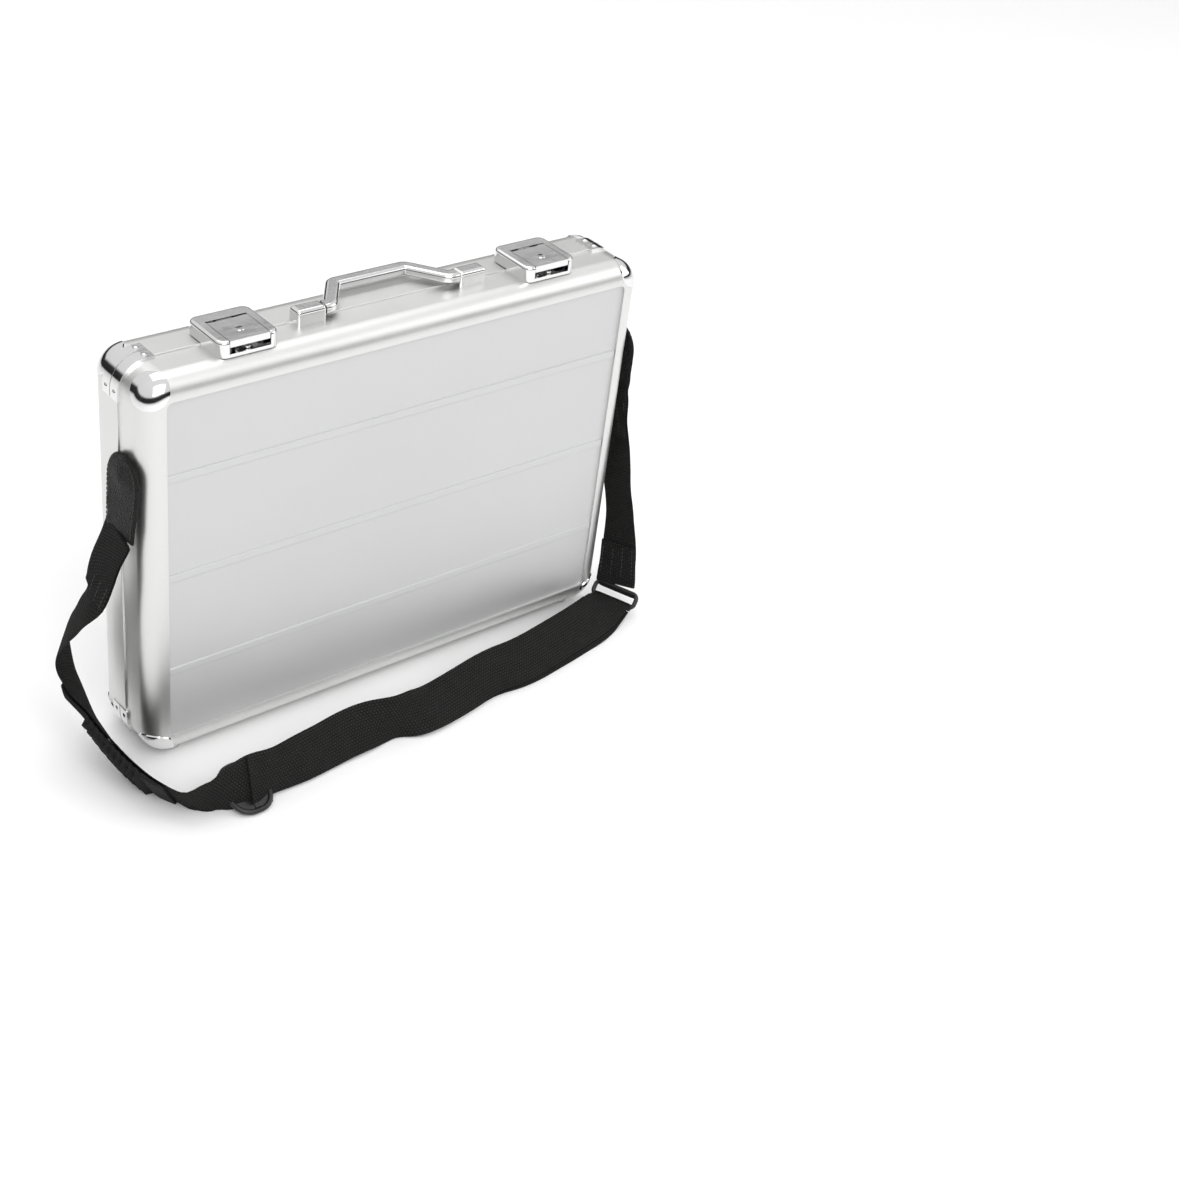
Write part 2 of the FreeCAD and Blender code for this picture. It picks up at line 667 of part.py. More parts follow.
def latch_cover(x, name):
    """The cast cover: cheeks, a low front sill, and a roof that reaches over the rim to the strike."""
    body = new_body(name)
    middle = (size("latch_back") - size("latch_front")) / 2
    foot = new_sketch(body, name + "_foot", "XY_Plane", TALL, (x, middle))
    draw_rectangle(foot, "foot", size("latch_width"), size("latch_front") + size("latch_back"), size("latch_corner"))
    grow(body, foot, size("latch_height"), 1)
    soften(body, "Z", LATCH_TOP, size("latch_round"))
    window = either_side(x, size("latch_window"))
    above = LATCH_TOP + 5
    sill_back = -size("latch_front") + size("latch_sill_depth")
    roof_front = PIVOT_Y - 0.9
    bead = -size("bead_width") - 0.3
    tools = [
        block(name + "_well", window, (sill_back, roof_front), (TALL + size("latch_floor"), above)),
        block(name + "_mouth", window, (-size("latch_front") - 5, sill_back), (TALL + size("latch_sill"), above)),
        block(name + "_tunnel", window, (roof_front - 1, size("latch_back") + 5),
              (TALL - 1, LATCH_TOP - size("latch_roof"))),
        block(name + "_bead_room", either_side(x, size("latch_width") + 10), (bead, size("latch_back") + 5),
              (TALL - 1, TALL + size("bead_height") + size("running_gap"))),
        rod(name + "_pin_bore", (x - size("latch_width") * 0.42, PIVOT_Y, PIVOT_Z), "x", size("latch_pin"),
            size("latch_width") * 0.84),
    ]
    return finish(cut(name, body, tools), name)


def latch_lever(x, name):
    """The square plate with its front lip, the hub on the pin, and the claws beyond it."""
    under = LATCH_TOP - size("lever_thickness")
    front = -size("latch_front") + 0.4
    wide, narrow = either_side(x, size("lever_width")), either_side(x, size("claw_width"))
    hub = either_side(x, size("claw_width") + 2)
    claw_bottom = PIVOT_Z - size("claw_low")
    tip = PIVOT_Y + size("claw_reach")
    rear = PIVOT_Y - 3.5
    solids = [
        block(name + "_plate", wide, (front, rear), (under, LATCH_TOP)),
        block(name + "_lip", wide, (front, front + 1.5), (LATCH_TOP - size("lever_lip"), LATCH_TOP)),
        block(name + "_gusset", narrow, (rear - 4, rear), (PIVOT_Z - 1.5, under + 0.5)),
        block(name + "_bridge", narrow, (rear - 1, PIVOT_Y), (PIVOT_Z - 1.4, PIVOT_Z + 1)),
        rod(name + "_hub", (hub[0], PIVOT_Y, PIVOT_Z), "x", size("lever_hub"), size("claw_width") + 2),
        block(name + "_neck", narrow, (PIVOT_Y - 1.5, PIVOT_Y + 1.7), (claw_bottom, PIVOT_Z - 1)),
        block(name + "_arm", narrow, (PIVOT_Y - 1.5, tip), (claw_bottom, claw_bottom + size("claw_thickness"))),
        block(name + "_tooth", narrow, (tip - size("claw_tooth"), tip), (claw_bottom, PIVOT_Z + 0.5)),
        rod(name + "_boss", (x, LOCK_Y, under - 6), "z", size("lock_boss"), 6.5),
    ]
    bores = [
        rod(name + "_pin_bore", (hub[0] - 1, PIVOT_Y, PIVOT_Z), "x", size("latch_pin") + size("pin_clearance") * 2,
            size("claw_width") + 4),
        rod(name + "_lock_bore", (x, LOCK_Y, under - 8), "z", size("lock_diameter") + size("pin_clearance") * 2, 12),
    ]
    return finish(cut(name, fuse(name + "_solid", solids), bores), name)


def latch_lock(x, side_name):
    """The key cylinder in the plate, and the cam on its inner end."""
    barrel_bottom = LATCH_TOP - size("lever_thickness") - 6.4
    top = LATCH_TOP + size("lock_proud")
    name = "lock_cylinder_" + side_name
    barrel = rod(name + "_barrel", (x, LOCK_Y, barrel_bottom), "z", size("lock_diameter"), top - barrel_bottom)
    keyway = block(name + "_keyway", either_side(x, 5), either_side(LOCK_Y, 1.2), (top - 3, top + 1))
    round_way = rod(name + "_key_round", (x, LOCK_Y, top - 3), "z", Length.of(2.6), 4)
    finish(cut(name, barrel, [keyway, round_way]), name)
    cam = "lock_cam_" + side_name
    half = size("cam_width") / 2
    plate = block(cam + "_plate", either_side(x, size("cam_width")), (LOCK_Y - size("cam_length") + half, LOCK_Y),
                  (barrel_bottom - size("cam_thickness"), barrel_bottom))
    ends = [
        rod(f"{cam}_end_{k}", (x, y, barrel_bottom - size("cam_thickness")), "z", size("cam_width"), size("cam_thickness"))
        for k, y in enumerate((LOCK_Y, LOCK_Y - size("cam_length") + half))
    ]
    finish(fuse(cam, [plate, *ends]), cam)


def strike(x, name):
    """The bridge on the lid that the claws hook behind."""
    half = size("strike_width") / 2
    bead_top = TALL + size("bead_height")
    plate_top = bead_top + size("strike_plate")
    wall_y = size("bead_width") + 0.3
    window = (size("claw_width") + 4) / 2
    bar = (PIVOT_Y + size("bar_near"), PIVOT_Y + size("bar_far"))
    bar_z = (PIVOT_Z - size("bar_low"), PIVOT_Z + size("bar_high"))
    leg = window + 2.5
    back = size("strike_back")
    solids = [
        block(name + "_seat", (x - half, x + half), (wall_y, back), (TALL, bead_top)),
        block(name + "_bridge_plate", (x - half, x + half), (back - 6.5, back), (bead_top, plate_top)),
        block(name + "_rail_left", (x - half, x - window), (Length.of(1), back), (bead_top, plate_top)),
        block(name + "_rail_right", (x + window, x + half), (Length.of(1), back), (bead_top, plate_top)),
        block(name + "_leg_left", (x - leg, x - window), bar, (bead_top, bar_z[1])),
        block(name + "_leg_right", (x + window, x + leg), bar, (bead_top, bar_z[1])),
        block(name + "_bar", (x - leg, x + leg), bar, bar_z),
    ]
    return finish(fuse(name, solids), name)


def coil_spring(name, x):
    """A torsion spring on the latch pin, as a close stack of turns."""
    wire = 0.35
    inner = size("latch_pin").value / 2 + 0.3
    turns = [
        Part.makeTorus(inner + wire, wire, Vector(x + k * wire * 1.9, PIVOT_Y.value, PIVOT_Z.value), Vector(1, 0, 0))
        for k in range(6)
    ]
    return turns[0].multiFuse(turns[1:])


def latches():
    """Everything of the two latches."""
    pins, springs = [], []
    for side, side_name in ((-1, "left"), (1, "right")):
        x = size("latch_offset") * side
        latch_cover(x, "latch_cover_" + side_name)
        latch_lever(x, "latch_lever_" + side_name)
        latch_lock(x, side_name)
        strike(x, "strike_" + side_name)
        pins.append(rod("latch_pin_" + side_name, (x - size("latch_width") * 0.42, PIVOT_Y, PIVOT_Z), "x",
                        size("latch_pin"), size("latch_width") * 0.84))
        springs.append(coil_spring(side_name, x.value + size("claw_width").value / 2 + 2.2))
    finish(together("latch_pins", pins), "latch_pins")
    finish(made("latch_springs", Part.makeCompound(springs)), "latch_springs")


# ---------------------------------------------------------------- hinge

HINGE_LENGTH = size("case_length") - size("hinge_end") * 2
HINGE_Z = -(size("bead_height") + size("hinge_drop"))


def hinge_leaf(shell):
    """One leaf of the piano hinge: a stepped strip and every other knuckle."""
    way = OUTWARD[shell]
    gap = size("hinge_gap").value
    count = int(size("hinge_knuckles").value)
    pitch = HINGE_LENGTH.value / count
    radius, thick = size("hinge_knuckle").value / 2, size("hinge_leaf_thickness").value
    z, half = HINGE_Z.value, HINGE_LENGTH.value / 2
    bead, step = size("bead_height").value, size("bead_width").value + 0.2
    clear, leaf = radius + gap, size("hinge_leaf").value

    def strip(x0, x1, y0, y1, z0, z1):
        low, high = sorted((way * y0, way * y1))
        return Part.makeBox(x1 - x0, high - low, z1 - z0, Vector(x0, low, z0))

    solids = [
        strip(-half, half, clear, leaf, -bead - thick, -bead),
        strip(-half, half, step, leaf, -bead, 0),
    ]
    for k in range(0 if shell == "base" else 1, count, 2):
        x0, x1 = -half + k * pitch + gap / 2, -half + (k + 1) * pitch - gap / 2
        knuckle = Part.makeCylinder(radius, x1 - x0, Vector(x0, 0, z), Vector(1, 0, 0))
        solids += [knuckle, strip(x0, x1, radius * 0.4, clear + 0.5, -bead - thick, -bead)]
    solid = solids[0].multiFuse(solids[1:])
    pin_radius = size("hinge_pin").value / 2 + (0 if shell == "base" else size("pin_clearance").value)
    bore = Part.makeCylinder(pin_radius, 2 * half + 2, Vector(-half - 1, 0, z), Vector(1, 0, 0))
    return finish(made("hinge_leaf_" + shell, solid.cut(bore).removeSplitter()), "hinge_leaf_" + shell)


def hinge():
    for shell in ("base", "lid"):
        hinge_leaf(shell)
    half = HINGE_LENGTH / 2
    pin = rod("hinge_pin_rod", (-half, 0, HINGE_Z), "x", size("hinge_pin"), half * 2)
    finish(together("hinge_pin", [pin]), "hinge_pin")


# ---------------------------------------------------------------- what is fitted inside

def base_fittings():
    """The padded divider, the two hold-down bands and the cloth strip along the hinge."""
    floor = inner_floor("base")
    lined = WALL + size("tongue_gap") + size("tongue_thickness") + size("seat_gap") + size("lining_thickness")
    clear = lined + size("running_gap") - size("seat_gap")
    seat, divider_top = floor + size("sewn_gap"), -size("divider_below_rim")
    body = new_body("divider")
    sketch = new_sketch(body, "divider_foot", "XZ_Plane", seat, (size("divider_offset"), MIDDLE))
    draw_rectangle(sketch, "foot", size("divider_width"), TALL - clear * 2)
    grow(body, sketch, divider_top - seat, 1)
    turn = EDGE - lined + 1
    soften(body, "Y", seat, turn, keep=lambda e: e.BoundBox.ZLength < 1)
    soften(body, "Y", divider_top, size("divider_round"))
    finish(body, "base_divider")
    band = size("strap_band_thickness")
    across = either_side(-size("strap_band_offset"), size("strap_band_width"))
    under = (seat, seat + band)
    over = (under[1] + size("sewn_gap"), under[1] + size("sewn_gap") + band)
    edge = EDGE + 2
    short = block("hold_band_short_strip", across, under, (TALL - edge - size("short_band"), TALL - edge))
    long_one = block("hold_band_long_strip", across, over, (edge, TALL - edge - size("long_band_stop")))
    finish(together("hold_band_short", [short]), "hold_band_short")
    finish(together("hold_band_long", [long_one]), "hold_band_long")
    strip = block("hinge_strip_cloth", (CORNER * 1.2 - LONG / 2, LONG / 2 - CORNER * 1.2),
                  (-size("strip_width") - 1.5, Length.of(-1.5)), (lined + 0.2, lined + 0.2 + size("strip_thickness")))
    finish(together("hinge_strip", [strip]), "hinge_strip")


def lid_pockets():
    """The organiser on the lid's floor: each pocket is a flat padded panel."""
    thick = size("pocket_thickness")
    floor = inner_floor("lid") - 0.1
    margin = EDGE + 3
    layers = [(floor - (thick + 0.1) * k - thick, floor - (thick + 0.1) * k) for k in range(4)]
    left, right = margin - LONG / 2, LONG / 2 - margin
    split = LONG * 0.1
    flat = {
        "file_pocket": ((left, right), layers[0], (margin, TALL - 44)),
        "gathered_pocket": ((left + 52, left + 190), layers[1], (margin + 12, margin + 140)),
        "pen_loop_left": ((split + 12, split + 36), layers[1], (TALL - 98, TALL - 64)),
        "pen_loop_right": ((split + 40, split + 64), layers[1], (TALL - 98, TALL - 64)),
        "phone_pocket": ((right - 74, right - 20), layers[1], (MIDDLE, TALL - 62)),
        "card_pocket_back": ((split + 24, right - 10), layers[1], (margin + 44, MIDDLE - 22)),
        "card_pocket_front": ((split + 26, right - 12), layers[2], (margin + 46, MIDDLE - 46)),
    }
    for name, (x, y, z) in flat.items():
        finish(together(name, [block(name + "_panel", x, y, z)]), name)


# ---------------------------------------------------------------- shoulder strap

TAB_X = LONG / 2 + size("tab_stand_off")
STUD_Y, STUD_Z = -size("stud_from_rim"), TALL - size("stud_drop")


def stud_start(side, reach):
    """A point on a stud's axis, that far outside the end wall."""
    return ((LONG / 2 + reach) * side, STUD_Y, STUD_Z)


def strap_studs():
    """A flanged stud on each end wall."""
    for side, axis, name in ((-1, "-x", "strap_stud_left"), (1, "x", "strap_stud_right")):
        solids = [
            rod(name + "_shank", stud_start(side, -WALL - 1), axis, size("stud_shank"),
                WALL + 1 + size("tab_stand_off") + size("stud_neck") + size("stud_head_thickness")),
            rod(name + "_flange", stud_start(side, 0), axis, size("stud_flange"), size("stud_flange_thickness")),
            rod(name + "_head", stud_start(side, size("tab_stand_off") + size("stud_neck")), axis, size("stud_head"),
                size("stud_head_thickness")),
        ]
        finish(fuse(name, solids), name)


def strap_tab(side, name):
    """A leather tab, round at the top and narrowing to the webbing, blind over the stud's head."""
    thick = size("tab_thickness")
    half, length = size("tab_width").value / 2, size("tab_length").value
    low_half = size("webbing_width").value / 2
    top = STUD_Z.value + half * 0.75
    x0 = side * TAB_X.value
    y0, knee = STUD_Y.value + 1, top - half
    low = top - length
    points = [Vector(x0, y0 - half, knee), Vector(x0, y0 - low_half, low), Vector(x0, y0 + low_half, low),
              Vector(x0, y0 + half, knee)]
    edges = [Part.LineSegment(a, b).toShape() for a, b in zip(points, points[1:])]
    edges.append(Part.Arc(points[-1], Vector(x0, y0, top), points[0]).toShape())
    blank = made(name + "_blank", Part.Face(Part.Wire(edges)).extrude(Vector(side * thick.value, 0, 0)))
    axis = "-x" if side < 0 else "x"
    tools = [
        rod(name + "_blind", stud_start(side, size("tab_stand_off") - 1), axis, size("stud_head") + 1, Length.of(4.5)),
    ]
    return finish(cut(name, blank, tools), name)


# The strap's route, chosen by hand for this case: down from the left tab, out and round on to the
# floor past the left end, along the front of the case, and up again at the right end.
STRAP_LONG = [
    (-236.9, -21, 204.4), (-241, -8, 176), (-250, 0, 152), (-260, 12, 118), (-266, 26, 84), (-264, 22, 52),
    (-246, -78, 16), (-231, -106, 14), (-196, -117, 18), (-125, -114, 20), (-60, -110, 20), (20, -110, 20),
    (105, -104, 20), (165, -93, 19), (207, -77, 13), (231, -61, 4),
]
STRAP_RETURN = [
    (-176, -119, 3), (-104, -116, 3), (-34, -111.8, 3), (38, -110, 3), (106, -107, 3), (168, -96, 3),
    (208, -84, 3), (235.5, -72.5, 3.4),
]
STRAP_SHORT = [
    (243, -54, 14), (248, -50, 45), (246, -42, 84), (241, -34, 124), (237.5, -25, 168), (236.9, -21, 204.4),
]
GRIP_RUN = 5  # the straight run of the long route that the grip lies along
SLIDER_AT = (-186, -112.4)
RING_AT = (236.5, -62, 8.5)
# the case that the route was drawn for: its half length, its base's depth and its tab's lower end
DRAWN_HALF, DRAWN_DEPTH, DRAWN_TAB = 228.5, 44, 204.5


def fitted(x, y, z):
    """A point of the strap, moved out with the ends, the front and the studs of another size of case."""
    tab_low = STUD_Z + size("tab_width") * 0.375 - size("tab_length")
    wider, deeper = (LONG / 2).value - DRAWN_HALF, DEPTH["base"].value - DRAWN_DEPTH
    share = max(-1, min(1, x / DRAWN_HALF))
    front = max(0, min(1, (-y - 21) / 40))
    raised = max(0, (z - 30) / (DRAWN_TAB - 30))
    stud_shift = STUD_Y.value + 22
    return Vector(x + wider * share, y - deeper * front + stud_shift * min(1, raised),
                  z + (tab_low.value - DRAWN_TAB) * raised)


def route_wire(name, points):
    """Straight runs joined by arcs as large as the runs allow; prints the tightest radius."""
    edges, here, radii = [], points[0], []
    for k in range(1, len(points) - 1):
        back, on = points[k - 1] - points[k], points[k + 1] - points[k]
        shorter = min(back.Length, on.Length)
        back.normalize()
        on.normalize()
        half_turn = (math.pi - back.getAngle(on)) / 2
        reach = 0.45 * shorter
        radius = reach / math.tan(half_turn)
        radii.append(radius)
        start, end = points[k] + back * reach, points[k] + on * reach
        towards = (back + on).normalize()
        middle = points[k] + towards * (radius / math.cos(half_turn) - radius)
        edges += [Part.LineSegment(here, start).toShape(), Part.Arc(start, middle, end).toShape()]
        here = end
    edges.append(Part.LineSegment(here, points[-1]).toShape())
    print(f"{name}: radii from {min(radii):.0f} to {max(radii):.0f} mm, length {sum(e.Length for e in edges):.1f} mm")
    return Part.Wire(edges)


def webbing(name, points):
    """A round stand-in with the webbing's own section area, along its route."""
    area = size("webbing_width").value * size("webbing_thickness").value
    radius = math.sqrt(area / math.pi)
    points = [fitted(*point) for point in points]
    path = route_wire(name, points)
    start, tangent = points[0], (points[1] - points[0]).normalize()
    ring = Part.Wire(Part.Circle(start, tangent, radius).toShape())
    tube = path.makePipeShell([ring], True, False)
    if abs(tube.Volume / (area * path.Length) - 1) > 0.01:
        raise RuntimeError(f"{name} has a volume of {tube.Volume:.0f}, not {area * path.Length:.0f} cubic millimetres")
    return finish(made(name, tube), name)


TUBE = math.sqrt(size("webbing_width").value * size("webbing_thickness").value / math.pi)


def put(name, solid, middle, along, across):
    """Finishes a solid drawn about the origin, with its X turned along and its Z across."""
    solid.transformShape(Placement(middle, Rotation(along, Vector(), across, "XZY")).toMatrix(), True)
    return finish(made(name, solid), name)


def shoulder_grip():
    """The ribbed rubber pad beside the webbing, past the left end of the case."""
    long, thick, high = (size(alias).value for alias in ("grip_length", "grip_thickness", "webbing_width"))
    rib_pitch, slot_wide, seat = long / 15, long / 36, TUBE + size("seat_gap").value
    solid = Part.makeBox(long, thick, high, Vector(-long / 2, -thick - seat, -high / 2))
    solid = solid.makeFillet(thick * 0.3, [e for e in solid.Edges if e.BoundBox.YLength > 1])
    for k in range(-5, 6):
        corner = Vector(k * rib_pitch - slot_wide / 2, -thick - seat - 1, -high * 0.35)
        solid = solid.cut(Part.makeBox(slot_wide, thick / 2, high * 0.7, corner))
    start, end = (fitted(*point) for point in STRAP_LONG[GRIP_RUN:GRIP_RUN + 2])
    return put("shoulder_grip", solid, (start + end) * 0.5, end - start, Vector(-0.41, -0.4, 0.82))


def strap_slider():
    """The oval slider: a plate with two slots and a bar between them, lying back under the webbing."""
    long, high, thick = (size("slider_" + part).value for part in ("length", "height", "thickness"))
    plate = Part.makeBox(long, thick, high, Vector(-long / 2, -thick / 2, -high / 2))
    plate = plate.makeFillet(long * 0.45, [e for e in plate.Edges if e.BoundBox.YLength > 1])
    slot_high, slot_wide, bar = size("webbing_width").value + 1, long * 0.22, long * 0.11
    for corner_x in (-bar / 2 - slot_wide, bar / 2):
        slot = Part.makeBox(slot_wide, thick + 2, slot_high, Vector(corner_x, -thick / 2 - 1, -slot_high / 2))
        plate = plate.cut(slot)
    lean = math.radians(70)
    back = Vector(0, math.sin(lean), math.cos(lean))
    stands = high / 2 * back.z + thick / 2 * back.y - size("foot_height").value + size("seat_gap").value
    return put("strap_slider", plate, fitted(*SLIDER_AT, stands), Vector(1, 0.05, 0), back)


def strap_ring():
    """The rectangular wire ring that joins the floor webbing to the right riser."""
    long, wide, wire = (size("ring_" + part).value for part in ("length", "width", "wire"))
    corner = wire * 1.2
    a, b = long / 2 - wire / 2, wide / 2 - wire / 2
    points = [Vector(0, -b, 0), Vector(a, -b, 0), Vector(a, b, 0), Vector(-a, b, 0), Vector(-a, -b, 0)]
    edges = []
    here = points[0]
    for k in range(1, 5):
        nxt = points[k + 1] if k < 4 else points[0]
        back, on = (points[k - 1] - points[k]).normalize(), (nxt - points[k]).normalize()
        start, end = points[k] + back * corner, points[k] + on * corner
        middle = points[k] + (back + on).normalize() * corner * (math.sqrt(2) - 1)
        edges += [Part.LineSegment(here, start).toShape(), Part.Arc(start, middle, end).toShape()]
        here = end
    edges.append(Part.LineSegment(here, points[0]).toShape())
    path = Part.Wire(edges)
    ring = Part.Wire(Part.Circle(points[0], Vector(1, 0, 0), wire / 2).toShape())
    solid = path.makePipeShell([ring], True, False)
    if solid.Volume < 0:
        solid.reverse()
    # its long bars lie across the webbing and its short ones climb outwards
    across, climb = Vector(0.35, -0.94, 0), Vector(0.6, 0.22, 0.77)
    return put("strap_ring", solid, fitted(*RING_AT), across, across.cross(climb))


def shoulder_strap():
    strap_studs()
    strap_tab(-1, "strap_tab_left")
    strap_tab(1, "strap_tab_right")
    webbing("webbing_long", STRAP_LONG)
    webbing("webbing_return", STRAP_RETURN)
    webbing("webbing_short", STRAP_SHORT)
    shoulder_grip()
    strap_slider()
    strap_ring()


# ---------------------------------------------------------------- the whole case

def stud_holes():
    return [
        rod(name, stud_start(side, -WALL - 2), axis, size("stud_shank"), WALL + 4)
        for side, axis, name in ((-1, "-x", "stud_hole_left"), (1, "x", "stud_hole_right"))
    ]


for shell_name in ("base", "lid"):
    frame_body = shell_frame(shell_name)
    drillings = [rivet_holes(shell_name + "_rivet_holes", rivet_places(shell_name), size("rivet_shank").value, 9)]
    drillings += foot_holes(shell_name)
    if shell_name == "base":
        drillings += stud_holes()
    finish(cut(shell_name + "_frame", frame_body, drillings), shell_name + "_frame")
    finish(shell_panel(shell_name), shell_name + "_panel")
    finish(shell_lining(shell_name), shell_name + "_lining")
    corner_caps(shell_name)
    rim_brackets(shell_name)
    rivets(shell_name + "_rivets", rivet_places(shell_name))
    feet(shell_name)

for bracket_side, bracket_name in ((-1, "handle_bracket_left"), (1, "handle_bracket_right")):
    handle_bracket(bracket_side, bracket_name)
handle()
latches()
hinge()
base_fittings()
lid_pockets()
shoulder_strap()
doc.recompute()


def check(thing):
    """Stops the build where an object failed or a piece isn't a sound solid."""
    if "Invalid" in thing.State or "Error" in thing.State:
        raise RuntimeError(f"{thing.Name} failed: {thing.State}")


for thing in doc.Objects:
    check(thing)
for piece in pieces:
    shape = piece.Shape
    if shape.isNull() or not shape.isValid() or not shape.Solids:
        raise RuntimeError(f"{piece.Label} isn't a sound solid")
os.makedirs("parts", exist_ok=True)
for piece in pieces:
    piece.Shape.exportStep(os.path.join("parts", piece.Label + ".step"))
    print(f"{piece.Label}: {len(piece.Shape.Solids)} solid(s), {piece.Shape.Volume / 1000:.2f} cm3")
print(len(pieces), "pieces")
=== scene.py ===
"""Finishes the attache case around its CAD frame: metals, strap, linings, pockets, camera and studio."""
import json
import logging
import math
from dataclasses import dataclass
from enum import Enum
from functools import cache
from typing import Callable, Iterable, Sequence

import bmesh
import bpy
from mathutils import Matrix, Vector

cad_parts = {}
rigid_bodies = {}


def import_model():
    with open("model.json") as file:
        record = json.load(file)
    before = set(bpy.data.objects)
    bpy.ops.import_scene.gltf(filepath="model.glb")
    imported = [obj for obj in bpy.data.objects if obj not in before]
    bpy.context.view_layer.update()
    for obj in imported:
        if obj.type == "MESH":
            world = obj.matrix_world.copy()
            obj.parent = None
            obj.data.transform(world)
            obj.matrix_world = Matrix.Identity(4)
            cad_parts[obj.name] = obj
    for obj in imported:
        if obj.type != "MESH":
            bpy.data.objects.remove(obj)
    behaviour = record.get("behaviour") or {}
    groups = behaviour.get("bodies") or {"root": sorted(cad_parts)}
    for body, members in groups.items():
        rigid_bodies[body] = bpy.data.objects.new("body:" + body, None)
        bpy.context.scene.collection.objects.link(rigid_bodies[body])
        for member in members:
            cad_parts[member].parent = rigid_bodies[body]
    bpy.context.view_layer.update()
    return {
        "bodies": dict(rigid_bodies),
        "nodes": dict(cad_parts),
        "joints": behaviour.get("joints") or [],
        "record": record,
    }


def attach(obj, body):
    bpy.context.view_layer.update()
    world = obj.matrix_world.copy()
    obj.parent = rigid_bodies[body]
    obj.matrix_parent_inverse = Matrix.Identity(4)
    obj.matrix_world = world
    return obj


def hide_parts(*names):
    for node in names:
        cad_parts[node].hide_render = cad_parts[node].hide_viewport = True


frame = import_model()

log = logging.getLogger("attache_case")

MM = 0.001
PARTING = 6.0  # mm that the parting plane stands behind the middle of the depth
FEET = 5.5  # mm that the feet lift the case
SHARP = math.radians(38)  # edges that turn more than this are shaded sharp


def at(x: float, y: float, z: float) -> Vector:
    """A point of the case's own frame, in millimetres from the middle of its underside, in the row frame."""
    return Vector((x, y + PARTING, z + FEET)) * MM


Color = tuple[float, float, float]


# ------------------------------------------------------------------------------------ shader maths


class Value:
    """One output socket; Python's operators combine values through Math nodes."""

    def __init__(self, graph: "Graph", socket: bpy.types.NodeSocket) -> None:
        """Wraps a socket of a graph."""
        self.graph = graph
        self.socket = socket

    def _math(self, operation: str, *operands: "Value | float") -> "Value":
        """Adds one Math node."""
        return self.graph.node("ShaderNodeMath", {"operation": operation}, dict(enumerate(operands)))

    def __add__(self, other: "Value | float") -> "Value":
        """self + other."""
        return self._math("ADD", self, other)

    __radd__ = __add__

    def __mul__(self, other: "Value | float") -> "Value":
        """self * other."""
        return self._math("MULTIPLY", self, other)

    __rmul__ = __mul__

    def __sub__(self, other: "Value | float") -> "Value":
        """self - other."""
        return self._math("SUBTRACT", self, other)

    def __rsub__(self, other: "Value | float") -> "Value":
        """other - self."""
        return self._math("SUBTRACT", other, self)

    def __pow__(self, power: float) -> "Value":
        """self raised to a power."""
        return self._math("POWER", self, power)

    def __abs__(self) -> "Value":
        """The distance from nought."""
        return self._math("ABSOLUTE", self)

    def wave(self, pitch: float) -> "Value":
        """A sine wave of that pitch, in the value's own unit."""
        return self._math("SINE", self * (2 * math.pi / pitch))

    def above(self, level: float) -> "Value":
        """1 where the value is over the level, and 0 elsewhere."""
        return self._math("GREATER_THAN", self, level)


class Graph:
    """The nodes of one material round a Principled shader."""

    def __init__(self, name: str) -> None:
        """Starts a material of that name."""
        self.material = bpy.data.materials.new(name)
        self.material.use_nodes = True
        self.tree = self.material.node_tree
        self.shader = self.tree.nodes["Principled BSDF"]

    def node(self, kind: str, settings: dict | None = None, inputs: dict | None = None,
             output: int | str = 0) -> Value:
        """Adds one node.

        Args:
            kind: the node's type.
            settings: properties set before its sockets; "stops" fills a colour ramp.
            inputs: socket name or number to a value, a colour or a Value.
            output: the output socket returned.

        Returns:
            The chosen output.
        """
        made = self.tree.nodes.new(kind)
        for key, value in (settings or {}).items():
            if key == "stops":
                ramp = made.color_ramp
                while len(ramp.elements) < len(value):
                    ramp.elements.new(1.0)
                for element, (place, color) in zip(ramp.elements, value):
                    element.position, element.color = place, (*color, 1.0)
            else:
                setattr(made, key, value)
        for key, value in (inputs or {}).items():
            self.feed(made.inputs[key], value)
        return Value(self, made.outputs[output])

    def feed(self, socket: bpy.types.NodeSocket, value: object) -> None:
        """Links or sets one input socket."""
        if isinstance(value, Value):
            self.tree.links.new(value.socket, socket)
        elif isinstance(value, tuple) and len(value) == 3 and socket.type == "RGBA":
            socket.default_value = (*value, 1.0)
        else:
            socket.default_value = value

    def set(self, **sockets: object) -> None:
        """Sets or links the shader's sockets, named with underscores for spaces."""
        for key, value in sockets.items():
            self.feed(self.shader.inputs[key.replace("_", " ")], value)

    def place(self, scale: tuple[float, float, float] = (1, 1, 1)) -> Value:
        """Object coordinates in metres, stretched by a scale."""
        coordinates = self.node("ShaderNodeTexCoord", output="Object")
        return self.node("ShaderNodeMapping", inputs={"Vector": coordinates, "Scale": scale})

    def noise(self, scale: float, detail: float = 2.0, where: Value | None = None) -> Value:
        """Smooth noise with that many cells to the metre."""
        inputs = {"Vector": where or self.place(), "Scale": scale, "Detail": detail}
        return self.node("ShaderNodeTexNoise", inputs=inputs)

    def attribute(self, name: str) -> Value:
        """One number kept on the mesh's points."""
        return self.node("ShaderNodeAttribute", {"attribute_name": name}, output="Fac")

    def shade(self, amount: Value, dark: Color, light: Color) -> Value:
        """A colour between two, by an amount from 0 to 1."""
        return self.node("ShaderNodeMix", {"data_type": "RGBA"}, {0: amount, 6: dark, 7: light}, output=2)

    def relief(self, height: Value, depth: float) -> None:
        """Feeds the normal from a height that runs over about 0 to 1, of that depth in metres."""
        bump = self.node("ShaderNodeBump", inputs={"Height": height, "Distance": depth, "Strength": 1.0})
        self.set(Normal=bump)


